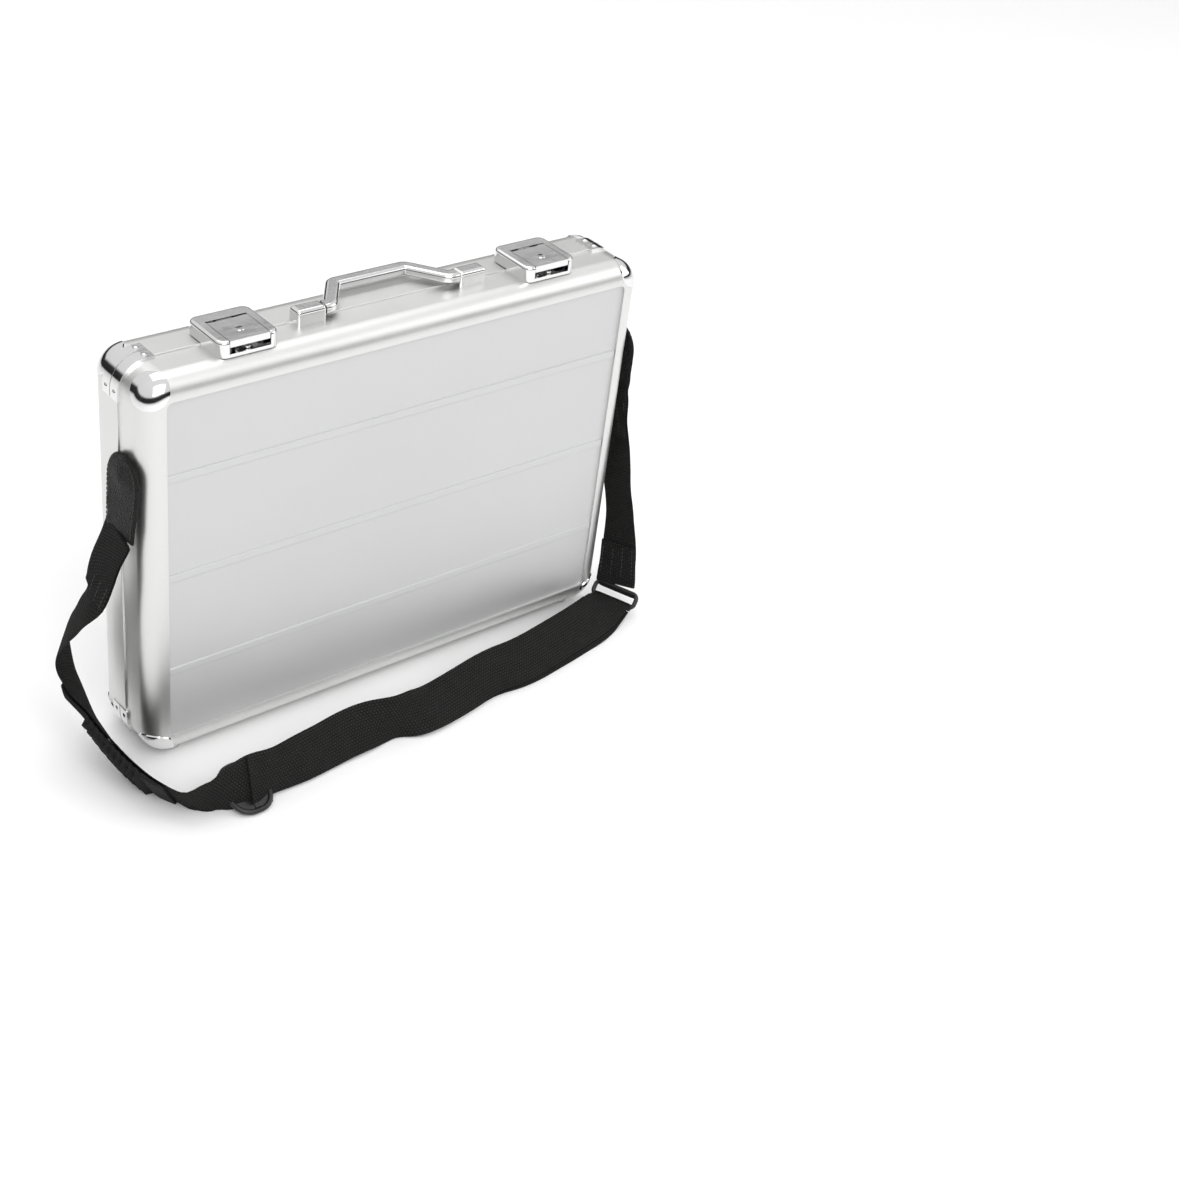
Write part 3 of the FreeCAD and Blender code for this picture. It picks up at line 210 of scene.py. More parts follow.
class Room(Graph):
    """The nodes of the world round the set."""

    def __init__(self) -> None:
        """Starts a world that has nothing but its output."""
        world = bpy.data.worlds.new("studio")
        bpy.context.scene.world = world
        world.use_nodes = True
        self.tree = world.node_tree
        self.tree.nodes.remove(self.tree.nodes["Background"])


def tinted(color: Color, factor: float) -> Color:
    """The colour, made that many times lighter."""
    return tuple(min(1.0, part * factor) for part in color)


@dataclass(frozen=True)
class Finish:
    """What every finish has: a name, a colour, a roughness and the record's slot."""

    name: str
    slot: str
    color: Color
    roughness: float

    def paint(self, graph: Graph) -> None:
        """Fills the shader; each finish adds its own."""
        raise NotImplementedError

    def tone(self, graph: Graph, amount: Value, dark: float, light: float) -> Value:
        """The finish's colour, between two multiples of it, by an amount from 0 to 1."""
        return graph.shade(amount, tinted(self.color, dark), tinted(self.color, light))

    @cache
    def material(self) -> bpy.types.Material:
        """The finish's own material, made once."""
        graph = Graph(self.name)
        self.paint(graph)
        return graph.material


@dataclass(frozen=True)
class SatinMetal(Finish):
    """Blasted or brushed metal with a fine grain and faint handling marks."""

    grain: tuple[float, float, float] = (1, 1, 1)
    grain_cells: float = 1400.0
    depth: float = 0.00003
    metallic: float = 1.0

    def paint(self, graph: Graph) -> None:
        """Grain in the relief, marks in the roughness and a little tone in the colour."""
        grain = graph.noise(self.grain_cells, 3.0, graph.place(self.grain))
        marks = graph.noise(14.0, 4.0)
        graph.set(
            Base_Color=self.tone(graph, marks * 0.5 + grain * 0.5, 0.93, 1.05),
            Roughness=self.roughness - 0.06 + marks * 0.08 + grain * 0.06,
            Metallic=self.metallic,
        )
        graph.relief(grain, self.depth)


@dataclass(frozen=True)
class Polished(Finish):
    """Bright plating with a soft orange-peel and faint smears."""

    def paint(self, graph: Graph) -> None:
        """Smears in the roughness, a long wave in the relief."""
        smears = graph.noise(60.0, 5.0, graph.place((1, 3, 1)))
        graph.set(
            Base_Color=self.tone(graph, smears, 0.96, 1.0),
            Roughness=self.roughness + (smears ** 3) * 0.12,
            Metallic=1.0,
        )
        graph.relief(graph.noise(160.0, 1.0), 0.00002)


@dataclass(frozen=True)
class PearlBoard(Finish):
    """A board with a silver pearl facing: a tight leathery print under a satin coat."""

    def paint(self, graph: Graph) -> None:
        """A fine pebble in the relief and a slow drift in the tone."""
        pebble = graph.noise(900.0, 2.0)
        drift = graph.noise(6.0, 3.0)
        graph.set(
            Base_Color=self.tone(graph, drift * 0.6 + pebble * 0.4, 0.95, 1.04),
            Roughness=self.roughness + pebble * 0.08,
            Metallic=0.45,
        )
        graph.relief(pebble, 0.00004)


@dataclass(frozen=True)
class Cloth(Finish):
    """Close-woven cloth on object coordinates."""

    pitch: float = 0.0011
    depth: float = 0.00012

    def paint(self, graph: Graph) -> None:
        """Over and under threads, with a little fluff in the colour."""
        where = graph.place()
        x, y, z = (graph.node("ShaderNodeSeparateXYZ", inputs={0: where}, output=axis) for axis in "XYZ")
        weave = (x + y * 0.5).wave(self.pitch) * (z + y * 0.5).wave(self.pitch) * 0.5 + 0.5
        fluff = graph.noise(220.0, 4.0)
        graph.set(
            Base_Color=self.tone(graph, weave * 0.4 + fluff * 0.6, 0.7, 1.5),
            Roughness=self.roughness,
            Sheen_Weight=0.06,
            Specular_IOR_Level=0.18,
        )
        graph.relief(weave * 0.7 + fluff * 0.3, self.depth)


@dataclass(frozen=True)
class Webbing(Finish):
    """Ribbed webbing, whose weave follows the band."""

    rib: float = 0.0027
    warp: float = 0.0024
    depth: float = 0.0008

    def paint(self, graph: Graph) -> None:
        """Weft ribs across the band, warp cords along it, and worn high spots in the roughness; the colour
        follows the weave's relief, with painted shade in the grooves and a painted highlight on the crests.
        """
        along, across = graph.attribute("along"), graph.attribute("across")
        shifted = along + (across.wave(self.warp * 2)).above(0.0) * (self.rib / 2)
        ribs = shifted.wave(self.rib) * 0.5 + 0.5
        cords = abs(across.wave(self.warp * 2))
        weave = ribs * 0.6 + cords * 0.4
        fluff = graph.noise(90.0, 5.0)
        graph.set(
            # painted shade and highlight: the colour runs from far darker in the grooves of the weave to far
            # lighter on its crests, under a little random fluff
            Base_Color=self.tone(graph, weave * 0.75 + fluff * 0.25, 0.12, 3.0),
            Roughness=self.roughness - weave * 0.1,
            Sheen_Weight=0.008,
            Specular_IOR_Level=0.05,
        )
        graph.relief(weave, self.depth)


@dataclass(frozen=True)
class Grained(Finish):
    """Leather or rubber with a cell grain."""

    cells: float = 420.0
    depth: float = 0.0004
    coat: float = 0.0

    def paint(self, graph: Graph) -> None:
        """Creases between the cells and a rubbed sheen on the high spots."""
        cells = graph.node("ShaderNodeTexVoronoi", {"feature": "DISTANCE_TO_EDGE"},
                           {"Vector": graph.place(), "Scale": self.cells})
        rubbed = graph.noise(45.0, 4.0)
        graph.set(
            Base_Color=self.tone(graph, rubbed, 0.7, 1.5),
            Roughness=self.roughness + rubbed * 0.12,
            Coat_Weight=self.coat,
            Coat_Roughness=0.3,
            Specular_IOR_Level=0.14,
        )
        graph.relief(cells * 4.0 + rubbed * 0.3, self.depth)


@dataclass(frozen=True)
class Moulded(Finish):
    """Moulded plastic with a faint texture; clear lets light through."""

    clear: float = 0.0

    def paint(self, graph: Graph) -> None:
        """Fine spark-eroded texture."""
        texture = graph.noise(1800.0, 2.0)
        graph.set(
            Base_Color=self.tone(graph, graph.noise(30.0), 0.92, 1.0),
            Roughness=self.roughness + texture * 0.08,
            Transmission_Weight=self.clear,
        )
        graph.relief(texture, 0.00002)


class Finishes(Enum):
    """Every finish on the case."""

    FRAME = SatinMetal("satin_aluminium", "frame_aluminium", (0.74, 0.74, 0.73), 0.4, grain=(0.2, 1, 1))
    BOARD = PearlBoard("pearl_board", "panel_board", (0.62, 0.62, 0.625), 0.5)
    CHROME = Polished("bright_chrome", "chrome_trim", (0.80, 0.80, 0.80), 0.07)
    HANDLE = Polished("handle_chrome", "handle_metal", (0.78, 0.78, 0.78), 0.09)
    STEEL = SatinMetal("brushed_steel", "plain_steel", (0.58, 0.58, 0.57), 0.3, grain=(0.1, 1, 1))
    FOOT = Moulded("milky_plastic", "foot_plastic", (0.80, 0.80, 0.78), 0.3, clear=0.35)
    BASE_CLOTH = Cloth("base_lining_weave", "base_lining_cloth", (0.020, 0.019, 0.019), 0.9)
    LID_CLOTH = Cloth("lid_lining_weave", "lid_lining_cloth", (0.042, 0.034, 0.034), 0.88)
    POCKET_CLOTH = Cloth("pocket_weave", "pocket_cloth", (0.030, 0.026, 0.026), 0.82, pitch=0.0014)
    BAND = Webbing("hold_band_cloth", "band_cloth", (0.020, 0.0195, 0.019), 0.85, rib=0.0015, warp=0.0016)
    WEBBING = Webbing("ribbed_webbing", "strap_webbing", (0.011, 0.0108, 0.0105), 0.88)
    LEATHER = Grained("grained_leather", "tab_leather", (0.0095, 0.0092, 0.009), 0.46, coat=0.04)
    RUBBER = Grained("moulded_rubber", "grip_rubber", (0.011, 0.011, 0.011), 0.6, cells=1200.0, depth=0.00006)
    BLACK_METAL = Moulded("black_fitting", "chrome_trim", (0.012, 0.012, 0.012), 0.36)
    THREAD = Moulded("black_thread", "tab_leather", (0.032, 0.032, 0.031), 0.6)


# ------------------------------------------------------------------------------------ meshes


def publish(name: str, mesh: bmesh.types.BMesh, body: str, finish: Finishes,
            smooth: bool = True) -> bpy.types.Object:
    """Turns a finished bmesh into a piece that rides on a body.

    Args:
        name: the piece's name.
        mesh: its mesh, in the row frame, which is freed.
        body: the CAD body it rides on.
        finish: its finish.
        smooth: whether its faces are shaded smooth.

    Returns:
        The new object.
    """
    for face in mesh.faces:
        face.smooth = smooth
    data = bpy.data.meshes.new(name)
    mesh.to_mesh(data)
    mesh.free()
    data.materials.append(finish.value.material())
    piece = bpy.data.objects.new(name, data)
    bpy.context.scene.collection.objects.link(piece)
    if smooth:
        data.set_sharp_from_angle(angle=SHARP)
    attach(piece, body)
    log.info("%s: %d faces", name, len(data.polygons))
    return piece


def turned_box(mesh: bmesh.types.BMesh, size: Sequence[float], where: Matrix, round_off: float,
               segments: int = 2) -> None:
    """Adds a block with rounded edges.

    Args:
        mesh: the mesh it joins.
        size: its length, depth and height in metres.
        where: the matrix that places it.
        round_off: the radius of its edges.
        segments: the faces across each rounded edge.
    """
    made = bmesh.ops.create_cube(mesh, size=1.0, matrix=where @ Matrix.Diagonal((*size, 1.0)))
    edges = {edge for vert in made["verts"] for edge in vert.link_edges}
    bmesh.ops.bevel(mesh, geom=list(edges), offset=round_off, segments=segments, profile=0.5, affect="EDGES",
                    material=-1)


@dataclass
class Stop:
    """One control point of a band's route: its place and the way its width points."""

    x: float
    y: float
    z: float
    wide: tuple[float, float, float]


@dataclass
class Frame:
    """One cross-section of a band: its middle, the way along, the way across and the way out."""

    middle: Vector
    along: Vector
    across: Vector

    @property
    def out(self) -> Vector:
        """The way the band's outer face points."""
        return self.along.cross(self.across)

    def matrix(self) -> Matrix:
        """The matrix from (across, out, along) to the row frame."""
        columns = Matrix((self.across, self.out, self.along)).transposed().to_4x4()
        columns.translation = self.middle
        return columns


class Route:
    """A band's route: a smooth line through space and the turn of the band along it."""

    def __init__(self, stops: Sequence[Stop]) -> None:
        """Lays the spline and reads its line.

        Args:
            stops: the control points, in the case's own frame.
        """
        curve = bpy.data.curves.new("route", "CURVE")
        curve.dimensions = "3D"
        curve.resolution_u = 10
        spline = curve.splines.new("NURBS")
        spline.points.add(len(stops) - 1)
        for point, stop in zip(spline.points, stops):
            point.co = (*at(stop.x, stop.y, stop.z), 1.0)
        spline.order_u = 3
        spline.use_endpoint_u = True
        carrier = bpy.data.objects.new("route", curve)
        bpy.context.scene.collection.objects.link(carrier)
        bpy.context.view_layer.update()
        line = bpy.data.meshes.new_from_object(carrier)
        self.points = [vert.co.copy() for vert in line.vertices]
        bpy.data.objects.remove(carrier)
        bpy.data.curves.remove(curve)
        bpy.data.meshes.remove(line)
        self.frames = [self._frame(index, stops) for index in range(len(self.points))]

    def _frame(self, index: int, stops: Sequence[Stop]) -> Frame:
        """The cross-section at one point of the line."""
        before = self.points[max(index - 1, 0)]
        after = self.points[min(index + 1, len(self.points) - 1)]
        along = (after - before).normalized()
        spans = len(stops) - 2
        travelled = index / (len(self.points) - 1) * spans
        share = min(max(travelled + 0.5, 0.0), 2 * travelled)
        share = max(share, spans + 1 - 2 * (spans - travelled)) if travelled > spans - 0.5 else share
        first = min(int(share), spans)
        rest = share - first
        rest = rest * rest * (3 - 2 * rest)
        wide = Vector(stops[first].wide).normalized().lerp(Vector(stops[first + 1].wide).normalized(), rest)
        wide = (wide - along * wide.dot(along)).normalized()
        return Frame(self.points[index], along, wide)

    @property
    def length(self) -> float:
        """The line's length in metres."""
        return sum((b - a).length for a, b in zip(self.points, self.points[1:]))

    def part(self, start: float, end: float) -> list[Frame]:
        """The cross-sections between two shares of the route."""
        last = len(self.frames) - 1
        return self.frames[round(start * last): round(end * last) + 1]


def section(mesh: bmesh.types.BMesh, width: float, thick: float, offset: float,
            place: Matrix) -> list[bmesh.types.BMVert]:
    """One closed cross-section of a band: flat faces and round edges."""
    ring = bmesh.ops.create_circle(mesh, segments=12, radius=1.0)["verts"]
    across = mesh.verts.layers.float["across"]
    for vert in ring:
        angle = math.atan2(vert.co.y, vert.co.x)
        x = math.copysign(abs(math.cos(angle)) ** 0.35, math.cos(angle)) * width / 2
        y = math.copysign(abs(math.sin(angle)) ** 0.8, math.sin(angle)) * thick / 2 + offset
        vert[across] = x
        vert.co = place @ Vector((x, y, 0.0))
    return ring


def sweep(frames: Sequence[Frame], width: Callable[[float], float], thick: Callable[[float], float],
          offset: Callable[[float], float] = lambda share: 0.0) -> bmesh.types.BMesh:
    """Draws a flat section along some frames.

    Args:
        frames: the cross-sections to pass through.
        width: the band's width at a share of the way, in metres.
        thick: its thickness there.
        offset: how far it stands out of the line there.

    Returns:
        The closed band, with its own "along" and "across" on each point, in metres.
    """
    mesh = bmesh.new()
    along = mesh.verts.layers.float.new("along")
    mesh.verts.layers.float.new("across")
    travelled, last = 0.0, None
    rings = []
    for number, here in enumerate(frames):
        share = number / (len(frames) - 1)
        if last is not None:
            travelled += (here.middle - last.middle).length
        ring = section(mesh, width(share), thick(share), offset(share), here.matrix())
        for vert in ring:
            vert[along] = travelled
        rings.append(ring_edges(ring))
        last = here
    for first, second in zip(rings, rings[1:]):
        bmesh.ops.bridge_loops(mesh, edges=first + second)
    bmesh.ops.holes_fill(mesh, edges=rings[0] + rings[-1], sides=0)
    bmesh.ops.recalc_face_normals(mesh, faces=mesh.faces)
    return mesh


def ring_edges(ring: Iterable[bmesh.types.BMVert]) -> list[bmesh.types.BMEdge]:
    """The edges of one open ring of vertices."""
    return list({edge for vert in ring for edge in vert.link_edges})


def merge(mesh: bmesh.types.BMesh, other: bmesh.types.BMesh) -> None:
    """Adds another mesh to a mesh, and frees the other."""
    carrier = bpy.data.meshes.new("carrier")
    other.to_mesh(carrier)
    other.free()
    mesh.from_mesh(carrier)
    bpy.data.meshes.remove(carrier)


def steady(value: float) -> Callable[[float], float]:
    """A size that stays the same all along."""
    return lambda share: value


# ------------------------------------------------------------------------------------ metal and boards


class Hardware:
    """The CAD nodes whose shape is finished: each gets its material."""

    NODES = {
        Finishes.FRAME: ("base_frame", "lid_frame"),
        Finishes.BOARD: ("base_panel", "lid_panel"),
        Finishes.HANDLE: ("handle",),
        Finishes.STEEL: ("hinge_leaf_base", "hinge_leaf_lid", "hinge_pin", "latch_pins", "handle_pins",
                         "latch_springs", "lock_cam_left", "lock_cam_right"),
        Finishes.FOOT: ("base_feet", "lid_feet"),
        Finishes.BLACK_METAL: ("strap_ring", "strap_slider"),
    }

    def dress(self) -> None:
        """Gives every CAD node its finish; what isn't listed is chrome."""
        finish_of = {node: finish for finish, nodes in self.NODES.items() for node in nodes}
        for name, node in frame["nodes"].items():
            node.data.materials.clear()
            node.data.materials.append(finish_of.get(name, Finishes.CHROME).value.material())
        log.info("hardware: %d nodes dressed", len(frame["nodes"]))


# ------------------------------------------------------------------------------------ shoulder strap

DEEP = (0, 1, 0)
RING_BAR = (-0.35, 0.94, 0)  # the way the ring's long bars lie


def lean(degrees: float) -> tuple[float, float, float]:
    """The way down a band that stands on its edge and leans back by an angle."""
    return (0.0, -math.sin(math.radians(degrees)), -math.cos(math.radians(degrees)))


def bump(share: float, middle: float, reach: float) -> float:
    """A smooth rise to 1 at the middle that dies away over a reach."""
    return math.exp(-((share - middle) / reach) ** 2)


def even(frames: Sequence[Frame], step: float) -> list[Frame]:
    """The same run with its cross-sections at even steps."""
    travelled = [0.0]
    for before, after in zip(frames, frames[1:]):
        travelled.append(travelled[-1] + (after.middle - before.middle).length)
    count = max(2, round(travelled[-1] / step))
    result, k = [], 0
    for number in range(count + 1):
        goal = travelled[-1] * number / count
        while k < len(frames) - 2 and travelled[k + 1] < goal:
            k += 1
        rest = (goal - travelled[k]) / max(travelled[k + 1] - travelled[k], 1e-9)
        first, second = frames[k], frames[k + 1]
        along = first.along.lerp(second.along, rest).normalized()
        across = first.across.lerp(second.across, rest)
        across = (across - along * across.dot(along)).normalized()
        result.append(Frame(first.middle.lerp(second.middle, rest), along, across))
    return result


def fold(bar: Vector, axis: Vector, start: Vector, radius: float, turn: float = math.pi) -> list[Frame]:
    """Cross-sections round a bar.

    Args:
        bar: a point on the bar's middle line.
        axis: the way the bar lies, which is the way across the band.
        start: the way from the bar to the first cross-section.
        radius: the distance from the bar's middle line to the band's.
        turn: the angle turned round the bar, in radians.

    Returns:
        The cross-sections in order.
    """
    start = (start - axis * start.dot(axis)).normalized()
    frames = []
    for number in range(13):
        turned = Matrix.Rotation(turn * number / 12, 4, axis)
        spoke = turned @ start
        along = axis.cross(spoke) * math.copysign(1.0, turn)
        frames.append(Frame(bar + spoke * radius, along.normalized(), axis))
    return frames


def stitches(mesh: bmesh.types.BMesh, line: Sequence[Vector], out: Vector, pitch: float = 3.6 * MM) -> None:
    """Adds a row of short threads that lie on a surface along a line."""
    for before, after in zip(line, line[1:]):
        run = after - before
        for number in range(max(1, round(run.length / pitch))):
            middle = before + run * ((number + 0.5) * pitch / run.length)
            along = run.normalized()
            columns = Matrix((along, out.cross(along).normalized(), out)).transposed().to_4x4()
            columns.translation = middle
            turned_box(mesh, (pitch * 0.7, 0.7 * MM, 0.6 * MM), columns, 0.2 * MM, 1)


@dataclass
class ShoulderStrap:
    """The webbing strap: left run, floor run, its doubled return, and the right riser."""

    width: float = 38 * MM
    thick: float = 1.7 * MM

    LONG = (
        Stop(-236.9, -21, 204.4, (0, 0.97, -0.2)), Stop(-241, -15, 186, (0, 0.94, -0.33)),
        Stop(-246, -11, 168, (-0.05, 0.94, -0.33)), Stop(-252, -12, 150, (0, 0.93, -0.3)),
        Stop(-260, -2, 130, (0.35, 0.85, -0.1)), Stop(-265, 13, 106, (0.55, 0.8, 0)),
        Stop(-266, 25, 84, (0.67, 0.73, 0.1)), Stop(-263, 18, 54, (0.6, 0.62, -0.4)),
        Stop(-257, -10, 31, (0.45, 0.45, -0.75)), Stop(-252, -42, 17, (0.41, 0.40, -0.82)),
        Stop(-245, -76, 11, (0.43, 0.36, -0.82)), Stop(-238, -97, 8.6, (0.42, 0.33, -0.85)),
        Stop(-233, -110, 9, (0.4, 0.3, -0.87)), Stop(-219, -116, 13, lean(-12)),
        Stop(-200, -118, 16, lean(14)),
        Stop(-184, -118, 18.5, lean(24)), Stop(-166, -115.5, 15, lean(14)),
        Stop(-125, -110, 11.6, lean(28)), Stop(-77, -101.5, 9.8, lean(38)), Stop(-42, -107.5, 13.3, lean(10)),
        Stop(-15, -111, 8.6, lean(44)), Stop(25, -106, 8.8, lean(42)), Stop(61, -99, 9.7, lean(38)),
        Stop(95, -102.5, 8.3, lean(46)), Stop(135, -96, 8, lean(48)), Stop(165, -91, 8, lean(48)),
        Stop(197, -83, 6, lean(60)), Stop(216, -71, 2.5, (0.25, -0.95, -0.2)),
        Stop(229, -64.7, 0.4, (0.35, -0.94, 0)),
    )
    RETURN = (
        Stop(-187, -120.5, 19, lean(24)), Stop(-166, -118, 15.6, lean(14)),
        Stop(-125, -113.5, 13.6, lean(28)), Stop(-77, -105, 12.6, lean(38)),
        Stop(-42, -111.5, 14.6, lean(10)), Stop(-15, -114, 11.6, lean(44)), Stop(25, -108, 13, lean(42)),
        Stop(61, -101, 14, lean(38)), Stop(95, -102, 14, lean(46)), Stop(135, -95, 14, lean(48)),
        Stop(165, -89.5, 14, lean(48)), Stop(197, -80, 11.5, lean(60)),
        Stop(216, -70.5, 8, (0.25, -0.95, -0.2)),
        Stop(230, -64.4, 6.9, (0.35, -0.94, 0)),
    )
    SHORT = (
        Stop(240.2, -57.5, 16.5, RING_BAR), Stop(245, -52, 40, (-0.2, 1, 0)), Stop(247, -43, 84, DEEP),
        Stop(241, -34, 124, DEEP), Stop(245, -28, 172, (0.3, 1, 0)), Stop(236.9, -21, 204.4, DEEP),
    )
    LOWER_BAR = at(232.6, -63.4, 3.6)
    UPPER_BAR = at(240.4, -60.6, 13.5)
    SLIDER = at(-186, -112.4, 5)
    SLIDER_TILT = math.radians(-70)
    TAB_Y = -21.0
    GRIP = (0.236, 0.385)  # the shares of the long route that the grip covers
    RIBS = (0.3, 0.86, 10)  # the shares of the grip where its ribs start and end, and their number

    def build(self) -> None:
        long_route, back_route, short_route = Route(self.LONG), Route(self.RETURN), Route(self.SHORT)
        tabs = [self._tab("left", -1), self._tab("right", 1)]
        grip = self._grip(long_route)
        slider = self._slider()
        main_band = self._main_band(long_route, short_route)
        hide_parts("webbing_long", "webbing_short")
        self._declare([long_route, short_route])
        doubled = publish("webbing_doubled", self._strip(back_route.frames), "base", Finishes.WEBBING)
        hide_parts("webbing_return")
        self._declare([back_route])

    def _strip(self, frames: Sequence[Frame],
               offset: Callable[[float], float] = lambda share: 0.0) -> bmesh.types.BMesh:
        """One layer of webbing along some frames."""
        return sweep(even(frames, 4 * MM), steady(self.width), steady(self.thick), offset)

    def _main_band(self, long_route: Route, short_route: Route) -> bpy.types.Object:
        """The single layer with its folds round the ring's bars and its sewn ends."""
        mesh = bmesh.new()
        axis = Vector(RING_BAR).normalized()
        step_out = self.thick + 0.2 * MM
        merge(mesh, self._strip(long_route.frames))
        merge(mesh, self._strip(fold(self.LOWER_BAR, axis, Vector((0, 0, -1)), 3.2 * MM, -math.pi)))
        merge(mesh, self._strip(fold(self.UPPER_BAR, axis, Vector((-1, 0, 0.4)), 3.1 * MM, -math.pi)))
        merge(mesh, self._strip(short_route.frames))
        sewn = long_route.part(0.0, 0.095)
        merge(mesh, self._strip(sewn, steady(-step_out)))
        for run, side in ((short_route.part(0.0, 0.2), 1), (short_route.part(0.8, 1.0), 1)):
            merge(mesh, self._strip(run, steady(side * step_out)))
        band = publish("webbing_band", mesh, "base", Finishes.WEBBING)
        threads = bmesh.new()
        seams = ((sewn[-9:], -1), (short_route.part(0.04, 0.19), 1), (short_route.part(0.81, 0.96), 1))
        for run, side in seams:
            first, last = run[0], run[-1]
            out = first.out * side
            for share in (-0.42, -0.14, 0.14, 0.42):
                line = [frame.middle + frame.across * self.width * share + out * (step_out + self.thick * 0.5)
                        for frame in (first, last)]
                stitches(threads, line, out)
        publish("strap_stitching", threads, "base", Finishes.THREAD, smooth=False)
        return band

    def _tab(self, hand: str, side: int) -> bpy.types.Object:
        """A stitched leather tab, raised over the head of its stud.

        Args:
            hand: "left" or "right".
            side: -1 on the left and 1 on the right.

        Returns:
            The tab.
        """
        name = "leather_tab_" + hand
        top, low, stud = 266.5, 204.5, 250.0
        half_top, half_low, top_x, low_x = 22.0, 19.0, 231.6, 237.0
        length = top - low + 2
        frames = [Frame(at(side * (top_x + (low_x - top_x) * n / 40), self.TAB_Y, top - length * n / 40),
                        Vector((0, 0, -1)), Vector((0, side, 0))) for n in range(41)]

        def width(share: float) -> float:
            """Round at the top and narrowing to the webbing."""
            down = share * length
            if down < half_top:
                return 2 * math.sqrt(max(half_top ** 2 - (half_top - down) ** 2, 4.0)) * MM
            rest = (down - half_top) / (length - half_top)
            return 2 * (half_top + (half_low - half_top) * rest) * MM

        def middle_x(height: float) -> float:
            """How far out the tab's middle stands at a height."""
            return top_x + (low_x - top_x) * (top - height) / length

        mesh = sweep(frames, width, steady(3.6 * MM))
        for vert in mesh.verts:
            place = vert.co / MM
            height = place.z - FEET
            away = math.hypot(place.y - PARTING - self.TAB_Y, height - stud)
            crease = math.sin((place.z - low) * 0.33 + place.y * 0.12) * 0.5 * (1 - bump(away, 0, 14))
            rise = 3.0 * bump(away, 0, 9.5) + crease * bump(height, low, 26)
            if side * place.x > middle_x(height):
                vert.co.x += side * rise * MM
        tab = publish(name, mesh, "base", Finishes.LEATHER)
        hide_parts("strap_tab_" + hand)
        seam = bmesh.new()
        line = []
        for number in range(31):
            share = 0.06 + 0.88 * abs(number / 15 - 1)
            sign = 1 if number > 15 else -1
            inner = width(share) / 2 - 2.6 * MM
            height = top - length * share
            edge = Vector((0, sign * max(inner, 0), 0))
            line.append(at(side * (middle_x(height) + 2.0), self.TAB_Y, height) + edge)
        for before, after in zip(line, line[1:]):
            stitches(seam, [before, after], Vector((side, 0, 0)), 4 * MM)
        publish(name + "_seam", seam, "base", Finishes.THREAD, smooth=False)
        return tab

    def _grip(self, route: Route) -> bpy.types.Object:
        """The ribbed rubber pad that lies along the outer side of the webbing."""
        frames = even(route.part(*self.GRIP), 1.2 * MM)
        low, high, ribs = self.RIBS

        def fullness(share: float) -> float:
            """0 at the ends, and 1 from a tenth of the way in."""
            return min(1.0, share / 0.1, (1 - share) / 0.1)

        def width(share: float) -> float:
            """A little wider than the webbing."""
            return (38 + 3 * fullness(share)) * MM

        def thick(share: float) -> float:
            """Thin at the ends, with raised ribs in the middle."""
            rib = math.sin((share - low) / (high - low) * ribs * 2 * math.pi) if low < share < high else 0.0
            return (2.2 + 2.6 * fullness(share) + 5.0 * max(0.0, rib) ** 0.5) * MM

        pad = sweep(frames, width, thick, lambda share: -thick(share) / 2 - 1.0 * MM)
        grip = publish("ribbed_grip", pad, "base", Finishes.RUBBER)
        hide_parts("shoulder_grip")
        return grip

    def _slider(self) -> bpy.types.Object:
        """The oval slider under the band: a round rim, a bar, and a thin web between them."""
        tilt = Matrix.Translation(self.SLIDER) @ Matrix.Rotation(self.SLIDER_TILT, 4, "X")
        mesh = bmesh.new()
        rings = []
        for number in range(72):
            turn = 2 * math.pi * number / 72
            ring = bmesh.ops.create_circle(mesh, segments=10, radius=2.2 * MM)["verts"]
            x = math.copysign(abs(math.cos(turn)) ** 0.8, math.cos(turn)) * 17 * MM
            z = math.copysign(abs(math.sin(turn)) ** 0.8, math.sin(turn)) * 21.8 * MM
            spoke = Vector((math.cos(turn), 0, math.sin(turn)))
            columns = Matrix((spoke, Vector((0, 1, 0)), spoke.cross(Vector((0, 1, 0))))).transposed().to_4x4()
            columns.translation = Vector((x, 0, z))
            for vert in ring:
                vert.co = tilt @ columns @ vert.co
            rings.append(ring_edges(ring))
        for first, second in zip(rings, rings[1:] + rings[:1]):
            bmesh.ops.bridge_loops(mesh, edges=first + second)
        bmesh.ops.recalc_face_normals(mesh, faces=mesh.faces)
        turned_box(mesh, (4 * MM, 3.4 * MM, 40 * MM), tilt, 1.2 * MM, 3)
        for side in (-1, 1):
            beside = tilt @ Matrix.Translation((side * 7.5 * MM, 0, 0))
            turned_box(mesh, (13 * MM, 1.4 * MM, 39 * MM), beside, 0.5 * MM)
        slider = publish("oval_slider", mesh, "base", Finishes.BLACK_METAL)
        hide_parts("strap_slider")
        return slider

    def _declare(self, routes: Sequence[Route]) -> None:
        """Measures a piece of webbing along its routes and the gap between them."""
        line = [point for route in routes for point in route.points]
        length = sum((b - a).length for a, b in zip(line, line[1:]))


# ------------------------------------------------------------------------------------ linings and pockets


